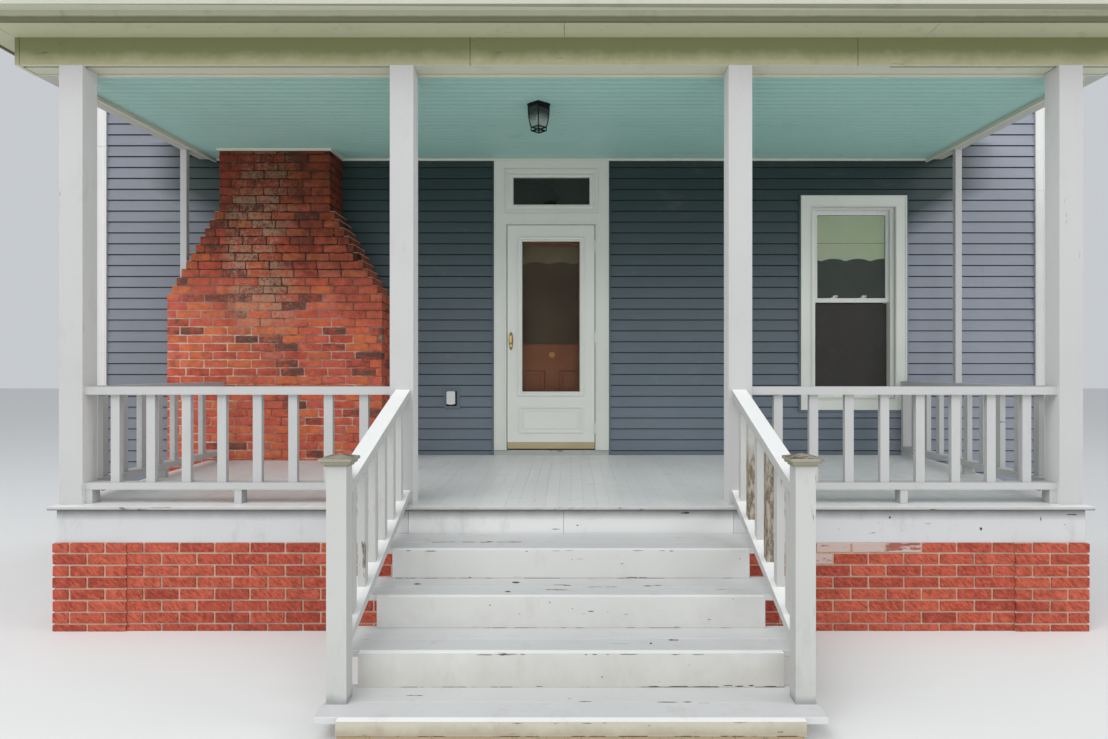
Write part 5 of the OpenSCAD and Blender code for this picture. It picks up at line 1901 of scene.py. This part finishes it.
@dataclass
class Doorway(Assembly):
    """Casing, jambs, transom and storm door."""

    glass_bead: Outline = (
        (0.0, -0.001), (0.0, 0.009), (0.008, 0.012), (0.02, 0.007), (0.032, 0.011), (0.04, 0.004),
        (0.042, -0.012),
    )
    panel: Quad = (-0.488, 0.1165, 1.011, 1.264)
    panel_edge: Outline = (
        (0.0, -0.001), (0.0, 0.004), (0.006, 0.008), (0.014, 0.008), (0.024, 0.002), (0.03, -0.001),
    )
    panel_field: Outline = ((0.04, -0.001), (0.041, 0.0045), (0.046, 0.0045), (0.048, -0.001))
    transom_edge: Outline = ((0.004, -0.001), (0.004, 0.006), (0.03, 0.006), (0.034, -0.001))
    transom_bead: Outline = (
        (0.05, -0.001), (0.05, 0.003), (0.062, 0.008), (0.078, 0.004), (0.081, -0.008), (0.081, -0.02),
    )
    back_band: float = 0.014
    screws: tuple[float, ...] = (1.24, 1.6, 1.85, 2.27, 2.85)
    head_screws: tuple[float, ...] = (-0.56, -0.19, 0.19)

    def build(self) -> None:
        """Dresses the doorway."""
        self.paint("casing", 0.002, 2, "door_casing", "door_jambs")
        self.paint("sill", 0.003, 2, "door_sill")
        self.paint("casing", 0.003, 2, "transom_frame")
        self.paint("room_shade_pane", 0.0, 0, "transom_glass")
        self.paint("door", 0.002, 2, "storm_door_slab")
        self.paint("storm_pane", 0.0, 0, "storm_door_glass")
        self.paint("sweep", 0.002, 2, "storm_door_sweep")
        self.paint("antique", 0.002, 3, "storm_door_handle")
        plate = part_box("storm_door_handle")[0][1] + 0.036
        self.also("storm_door_handle", "brass", lambda face: face.center.y < plate)
        self.paint("door", 0.0008, 1, "storm_door_knuckles", "hinge_pins")
        self.mouldings()
        self.door_panel()
        self.screw_heads()

    def mouldings(self) -> None:
        """Stepped mouldings of the casing, the transom and the storm door's frame."""
        draft = Draft("door_mouldings", 71)
        (x0, y0, z0), (x1, _, z1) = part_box("transom_frame")
        for profile in (self.transom_edge, self.transom_bead):
            draft.moulding((x0 + 0.02, z0), (x1 - 0.02, z1 - 0.02), y0, profile)
        border(draft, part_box("door_casing"), self.back_band, 0.006)
        slab_low, slab_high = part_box("storm_door_slab")
        face = slab_low[1] + 0.005
        near, back = face - 0.004, face + 0.001
        left, right, head = slab_low[0] - 0.0075, slab_high[0] + 0.012, slab_high[2] + 0.0075
        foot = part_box("door_sill")[1][2]
        draft.box((left - 0.018, near, foot), (left, back, head + 0.018), 0.3)
        draft.box((right + 0.006, near, foot), (right + 0.02, back, head + 0.018), 0.3)
        draft.box((left, near, head), (right + 0.006, back, head + 0.018), 0.3)
        draft.finish(["casing"], (), "white_paint", 0.0012)

    def door_panel(self) -> None:
        """Mouldings and lower panel of the storm door."""
        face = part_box("storm_door_slab")[0][1] + 0.005
        draft = Draft("storm_door_mouldings", 72)
        (x0, _, z0), (x1, _, z1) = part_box("storm_door_glass")
        grow = 0.03
        draft.moulding((x0 - grow, z0 - grow), (x1 + grow, z1 + grow), face, self.glass_bead)
        a, b, low, high = self.panel
        for profile in (self.panel_edge, self.panel_field):
            draft.moulding((a, low), (b, high), face, profile)
        draft.finish(["door"], (), "door_paint", 0.001, 1, STORM_DOOR)

    def screw_heads(self) -> None:
        """Screw heads in the storm door's frame."""
        draft = Draft("frame_screws", 73)
        low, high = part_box("storm_door_slab")
        spots = [(x, z) for x in (low[0] - 0.0165, high[0] + 0.025) for z in self.screws]
        spots += [(x, high[2] + 0.0165) for x in self.head_screws]
        profile = [(0.002, 0.0032), (-0.0008, 0.0032), (-0.0016, 0.0018)]
        for x, z in spots:
            draft.lathe((x, low[1] + 0.001, z), Axis.Y, profile, 10)
        draft.finish(["screw"], (), "door_paint")


def border(draft: Draft, box: tuple[Spot, Spot], wide: float, proud: float) -> None:
    """Draws the raised edge on the uprights and the head of a casing.

    Args:
        draft: Where the boxes go.
        box: Corners of the casing.
        wide: Width of the edge.
        proud: How far it stands out.
    """
    (x0, y0, z0), (x1, _, z1) = box
    near, back = y0 - proud, y0 + 0.001
    for a, b in ((x0, x0 + wide), (x1 - wide, x1)):
        draft.box((a, near, z0), (b, back, z1 - wide), 0.3)
    draft.box((x0, near, z1 - wide), (x1, back, z1), 0.3)


@dataclass
class FrontDoor(Assembly):
    """Panelled wooden door behind the storm door.

    Attributes:
        mullion: Half width of the stile between the lower panels.
        shift: How far that stile stands off the middle.
        panels: Height of the lower panels' foot over the door's, and of their head.
    """

    stile: float = 0.115
    mullion: float = 0.0575
    shift: float = 0.012
    panels: Pair = (0.22, 1.605)
    ogee: Outline = (
        (0.0, -0.016), (0.0, 0.002), (0.006, 0.004), (0.014, -0.004), (0.02, -0.009), (0.022, -0.016),
    )
    raised: Outline = ((0.04, -0.016), (0.05, -0.006), (0.08, -0.006), (0.08, -0.016))
    glass_bead: Outline = ((0.0, -0.016), (0.0, 0.001), (0.008, 0.002), (0.016, -0.008), (0.018, -0.016))
    shade: Shade = Shade(2.603, 0.024)

    def build(self) -> None:
        """Dresses the door."""
        self.paint("door_wood", 0.0015, 2, "front_door_leaf")
        self.paint("brass", 0.0015, 3, "front_door_fittings")
        self.paint("brass", 0.0008, 1, "front_door_knuckles")
        self.mouldings()
        self.glazing()

    def mouldings(self) -> None:
        """Mouldings round the panels and the glass."""
        (x0, y0, z0), (x1, _, _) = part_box("front_door_leaf")
        middle = (x0 + x1) / 2 + self.shift
        draft = Draft("front_door_mouldings", 75)
        low, high = z0 + self.panels[0], self.panels[1]
        for a, b in ((x0 + self.stile, middle - self.mullion), (middle + self.mullion, x1 - self.stile)):
            draft.moulding((a, low), (b, high), y0, self.ogee)
            draft.moulding((a, low), (b, high), y0, self.raised)
            draft.box((a + 0.078, y0 + 0.006, low + 0.078), (b - 0.078, y0 + 0.014, high - 0.078), 0.5)
        (x0, _, z0), (x1, _, z1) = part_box("front_door_glass")
        draft.moulding((x0 + 0.012, z0 + 0.012), (x1 - 0.012, z1 - 0.012), y0, self.glass_bead)
        draft.finish(["door_wood"], (), "door_wood", 0.0008, 1, FRONT_DOOR)

    def glazing(self) -> None:
        """Clear pane, dark pane standing in as painted shade for the room behind, and shade."""
        (x0, y0, z0), (x1, y1, z1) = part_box("front_door_glass")
        pane = Draft("front_door_clear_pane", 76)
        pane.box((x0, y0 - 0.0003, z0), (x1, y0 + 0.0012, z1), 0.5)
        pane.finish(["clear_pane"], (), "dark_glass", body=FRONT_DOOR)
        dark = Draft("front_door_room_shade_pane", 77)
        dark.box((x0, y1 - 0.001, z0), (x1, y1, z1), 0.5)
        dark.finish(["door_room_shade"], ["front_door_glass"], "dark_glass", body=FRONT_DOOR)
        shade = Draft("front_door_shade", 78)
        self.shade.draw(shade, x0 + 0.006, x1 - 0.006, y0 + 0.0028, z1 - 0.004)
        cloth = shade.finish(["door_shade"], body=FRONT_DOOR)


@dataclass
class SashWindow(Assembly):
    """Casing, frame, sashes, shade and glass of the window.

    Attributes:
        meeting: Height at which the two sashes' glass meets.
    """

    casing: float = 0.097
    inner_bead: Outline = (
        (0.0, -0.001), (0.0, 0.005), (0.005, 0.008), (0.012, 0.002), (0.014, -0.02), (0.003, -0.02),
    )
    track: Outline = ((0.0, -0.01), (0.0, 0.004), (0.012, 0.006), (0.018, 0.0), (0.018, -0.01))
    back_band: float = 0.012
    meeting: float = 2.254
    glass: float = 0.006
    locks: Pair = (2.474, 2.744)
    shade: Shade = Shade(2.62, 0.026)

    def build(self) -> None:
        """Dresses the window."""
        self.paint("casing", 0.003, 2, "window_casing")
        self.paint("casing", 0.002, 2, "window_frame")
        self.paint("white_vinyl", 0.002, 2, "window_sashes")
        self.stops()
        self.glazing()
        self.sash_locks()

    def stops(self) -> None:
        """Bead inside the casing, tracks beside the sashes and the casing's raised edge."""
        (x0, y0, z0), (x1, _, z1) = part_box("window_casing")
        draft = Draft("window_beads", 81)
        for inset, back, profile in ((0.0, 0.0, self.inner_bead), (0.014, 0.03, self.track)):
            low = (x0 + self.casing - 0.003 + inset, z0 + self.casing - 0.003 + inset)
            high = (x1 - self.casing + 0.003 - inset, z1 - self.casing + 0.003 - inset)
            draft.moulding(low, high, y0 + back, profile)
        border(draft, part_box("window_casing"), self.back_band, 0.005)
        draft.finish(["casing"], (), "white_paint", 0.0012)

    def glazing(self) -> None:
        """Clear pane, dark panes standing in as painted shade for the room behind, the shade between the
        upper ones and the lower insect screen.
        """
        (x0, y0, z0), (x1, y1, z1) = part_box("window_glass")
        upper, lower = Draft("window_clear_pane", 82), Draft("window_room_shade_panes", 83)
        foot = self.meeting - 0.012
        upper.box((x0, y0 - 0.0003, foot), (x1, y0 + 0.0012, z1), 0.5)
        lower.box((x0, y0 + self.glass - 0.001, foot), (x1, y0 + self.glass, z1), 0.5, 1)
        lower.box((x0, y1 - self.glass, z0), (x1, y1, self.meeting - 0.001), 0.5)
        upper.finish(["clear_pane"], (), "dark_glass")
        lower.finish(["room_shade_pane", "room_shade_pane_reflections"], ["window_glass"], "dark_glass")
        shade = Draft("window_shade", 84)
        self.shade.draw(shade, x0 + 0.004, x1 - 0.004, y0 + 0.0028, z1 - 0.003)
        cloth = shade.finish(["shade"])
        screen = Draft("window_screen", 85)
        (x0, y0, z0), (x1, _, _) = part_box("window_sashes")
        y = y0 + 0.02
        screen.box((x0 + 0.012, y, z0 + 0.004), (x1 - 0.012, y + 0.0008, self.meeting - 0.03), 0.5)
        screen.finish(["screen"], (), "dark_glass")

    def sash_locks(self) -> None:
        """Two sash locks on the meeting rail, each with a base, a pivot and a lever."""
        draft = Draft("sash_locks", 86)
        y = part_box("window_sashes")[0][1]
        z = self.meeting + 0.02
        for x in self.locks:
            draft.box((x - 0.03, y + 0.006, z - 0.001), (x + 0.03, y + 0.03, z + 0.008), 0.3)
            draft.box((x - 0.012, y + 0.008, z + 0.007), (x + 0.012, y + 0.024, z + 0.02), 0.3)
            draft.box((x - 0.008, y + 0.004, z + 0.016), (x + 0.034, y + 0.014, z + 0.026), 0.3)
        draft.finish(["white_vinyl"], (), "white_vinyl", 0.0015)


@dataclass
class Fittings(Assembly):
    """Lantern and outlet cover.

    The lantern's outlines are (share of its half width, share of its height) points.

    Attributes:
        rings: (share of the half width, lower and upper share of the height, thickness) of its rings.
        finial: (height, radius) points of its finial.
        bulb: (share of the height, radius) points of its bulb.
    """

    cap: Outline = ((1.0, 1.0), (1.0, 0.955), (0.965, 0.92), (0.9, 0.885), (0.9, 0.86))
    corner: Outline = ((0.9, 0.88), (0.885, 0.72), (0.83, 0.5), (0.74, 0.3), (0.64, 0.155), (0.64, 0.05))
    bar: float = 0.0045
    rings: tuple[Quad, ...] = (
        (0.655, 0.15, 0.185, 0.006), (0.66, 0.03, 0.065, 0.006), (0.885, 0.8, 0.86, 0.004),
    )
    finial: Outline = ((0.0, 0.001), (0.003, 0.0045), (0.008, 0.0045), (0.012, 0.002), (0.03, 0.0035))
    bulb: Outline = ((0.22, 0.004), (0.27, 0.016), (0.38, 0.024), (0.5, 0.02), (0.62, 0.013))
    plate: float = 0.008

    def build(self) -> None:
        """Dresses the fittings."""
        self.lantern_bars()
        self.lantern_glass()
        self.outlet()

    def square(self, share: float, rise: float, grow: float = 0.0) -> list[Triple]:
        """Corners of a level square in the lantern, which is set cornerwise.

        Args:
            share: Share of the lantern's half width.
            rise: Share of its height.
            grow: Length added to the half width.

        Returns:
            The front, right, back and left corner.
        """
        (x0, y0, z0), (x1, y1, z1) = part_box("lantern_frame")
        cx, cy, z = (x0 + x1) / 2, (y0 + y1) / 2, z0 + (z1 - z0) * rise
        reach = (x1 - x0) / 2 * share + grow
        return [(cx, cy - reach, z), (cx + reach, cy, z), (cx, cy + reach, z), (cx - reach, cy, z)]

    def lantern_bars(self) -> None:
        """Tapering frame of the lantern, with four bars, a gallery, arms and a finial."""
        (x0, y0, z0), (x1, y1, z1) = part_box("lantern_frame")
        centre, height, bar = ((x0 + x1) / 2, (y0 + y1) / 2, z0), z1 - z0, self.bar
        draft = Draft("lantern_bars", 91)
        draft.solid([self.square(*point) for point in self.cap])
        for k in range(4):
            rings = []
            for point in self.corner:
                x, y, z = self.square(*point)[k]
                rings.append([(x - bar, y, z), (x, y - bar, z), (x + bar, y, z), (x, y + bar, z)])
            draft.solid(rings)
        for share, low, high, thick in self.rings:
            outer = [self.square(share, rise) for rise in (low, high)]
            inner = [self.square(share, rise, -thick * 1.6) for rise in (high, low)]
            draft.solid(outer + inner, closed=True)
        foot = self.corner[-1]
        section = [(-0.002, -0.003), (0.002, -0.003), (0.002, 0.003), (-0.002, 0.003)]
        for k, end in enumerate(self.square(*foot)):
            ends = (end, (*centre[:2], end[2]))
            if k % 2:
                draft.solid([[(x, y + s, z + t) for s, t in section] for x, y, z in ends])
            else:
                draft.solid([[(x + s, y, z + t) for s, t in section] for x, y, z in ends])
        draft.lathe(centre, Axis.Z, self.finial, 12)
        draft.lathe(centre, Axis.Z, [(height * 0.62, 0.017), (height * 0.88, 0.017)], 20)
        draft.finish(["black"], ["lantern_frame"], "black_metal", 0.0006, 1)

    def lantern_glass(self) -> None:
        """The lantern's panes and bulb."""
        (x0, y0, z0), (x1, y1, z1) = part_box("lantern_frame")
        panes = Draft("lantern_panes", 92)
        for k in range(4):
            j = (k + 1) % 4
            for upper, lower in zip(self.corner[:-2], self.corner[1:-1]):
                low, high = self.square(*lower, -0.003), self.square(*upper, -0.003)
                panes.face([low[k], low[j], high[j], high[k]], 0.5)
        pane = panes.finish(["lantern_pane"], ["lantern_glass"], "clear_glass")
        pane.modifiers.new("thickness", "SOLIDIFY").thickness = 0.002
        bulb = Draft("lantern_bulb", 93)
        profile = [((z1 - z0) * rise, radius) for rise, radius in self.bulb]
        bulb.lathe(((x0 + x1) / 2, (y0 + y1) / 2, z0), Axis.Z, profile, 24)
        bulb.finish(["bulb"], (), "clear_glass", smooth=True)

    def outlet(self) -> None:
        """Weatherproof outlet box with a hinged lid over a grey plate."""
        (x0, y0, z0), (x1, y1, z1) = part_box("outlet_cover")
        draft = Draft("outlet_box", 94)
        back = y1 - self.plate
        draft.box((x0, back, z0), (x1, y1, z1), 0.4, 1)
        # Black block behind the lid, showing to its right and below it: painted shadow of the lid.
        draft.box((x0 + 0.004, y0 + 0.012, z0 + 0.012), (x1 - 0.009, back, z1 - 0.001), 0.5, 2)
        draft.box((x0 + 0.008, y0, z0 + 0.028), (x1 - 0.022, y0 + 0.014, z1 - 0.003), 0.2)
        draft.box((x0 + 0.018, y0 + 0.004, z1 - 0.01), (x1 - 0.032, back, z1), 0.5)
        draft.box((x0 + 0.028, y0, z0 + 0.024), (x1 - 0.042, y0 + 0.012, z0 + 0.03), 0.5)
        draft.finish(["outlet", "siding", "black"], ["outlet_cover"], "outlet_plastic", 0.0025, 3)


@dataclass(frozen=True)
class Studio:
    """Camera, lights and floor.

    Attributes:
        focal_px: Focal length in pixels of the photograph.
        vanishing: Pixel that the depth lines run to.
        lights: (name, place, target, size, power in watts) of the lights.
    """

    eye: Triple
    focal_px: float = 750.0
    sensor: float = 36.0
    vanishing: Pair = (571.0, 370.0)
    image: tuple[int, int] = (1108, 739)
    lights: tuple[tuple[str, Spot, Spot, Pair, float], ...] = (
        ("key_light", (-5.0, -8.5, 13.5), (0.0, 0.3, 1.6), (9.0, 9.0), 980.0),
        ("front_light", (1.0, -14.0, 9.5), (0.0, 1.0, 1.9), (14.0, 3.0), 370.0),
        ("low_light", (0.0, -9.0, 0.35), (0.0, 1.2, 3.2), (13.0, 0.5), 165.0),
        ("right_light", (11.0, -4.0, 7.0), (2.8, 1.5, 2.2), (6.0, 6.0), 430.0),
        ("left_light", (-11.0, -4.0, 7.0), (-2.5, 1.5, 2.2), (6.0, 6.0), 240.0),
    )

    def build(self) -> None:
        """Sets the stage."""
        self.camera()
        self.world()
        for light in self.lights:
            self.area(*light)
        self.floor()

    def camera(self) -> None:
        """Camera at the photograph's angle."""
        data = bpy.data.cameras.new("camera")
        width, height = self.image
        data.sensor_width = self.sensor
        data.lens = self.focal_px * self.sensor / width
        data.shift_x = (width / 2 - self.vanishing[0]) / width
        data.shift_y = (self.vanishing[1] - height / 2) / width
        data.clip_end = 200.0
        camera = bpy.data.objects.new("camera", data)
        camera.location = self.eye
        camera.rotation_euler = (math.pi / 2, 0, 0)
        bpy.context.scene.collection.objects.link(camera)
        bpy.context.scene.camera = camera

    def world(self) -> None:
        """Soft pale surroundings."""
        world = bpy.data.worlds.new("studio")
        world.use_nodes = True
        back = world.node_tree.nodes["Background"]
        back.inputs[0].default_value = (0.86, 0.9, 0.95, 1)
        back.inputs[1].default_value = 0.66
        bpy.context.scene.world = world
        bpy.context.scene.view_settings.view_transform = "Standard"

    def area(self, name: str, at: Spot, to: Spot, size: Pair, power: float) -> None:
        """Adds a large soft light.

        Args:
            name: Name of the light.
            at: Where it stands.
            to: Where it points.
            size: Width and height.
            power: Power in watts.
        """
        data = bpy.data.lights.new(name, "AREA")
        data.shape = "RECTANGLE"
        data.size, data.size_y = size
        data.energy = power
        lamp = bpy.data.objects.new(name, data)
        lamp.location = at
        lamp.rotation_euler = (Vector(to) - Vector(at)).to_track_quat("-Z", "Y").to_euler()
        bpy.context.scene.collection.objects.link(lamp)

    def floor(self) -> None:
        """Plain pale floor."""
        mesh = bmesh.new()
        bmesh.ops.create_grid(mesh, x_segments=1, y_segments=1, size=60)
        data = bpy.data.meshes.new("studio_floor")
        mesh.to_mesh(data)
        mesh.free()
        data.materials.append(Graph("studio_floor").done((0.74, 0.74, 0.73), 0.9))
        floor = bpy.data.objects.new("studio_floor", data)
        floor.location = (0, 0, -0.001)
        bpy.context.scene.collection.objects.link(floor)


def main() -> None:
    """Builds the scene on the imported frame."""
    logging.basicConfig(level=logging.INFO, format="%(name)s: %(message)s")
    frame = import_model()
    plan = Plan.read()
    for kind in (Foundations, HouseWall, Chimney, Deck, Stairs, Railings, Roof, Doorway, FrontDoor,
                 SashWindow, Fittings):
        LOG.info("building %s", kind.__name__)
        kind(plan, frame["nodes"]).build()
    Studio((0.0, plan.y(6.99), 1.6)).build()


if __name__ == "__main__":
    main()
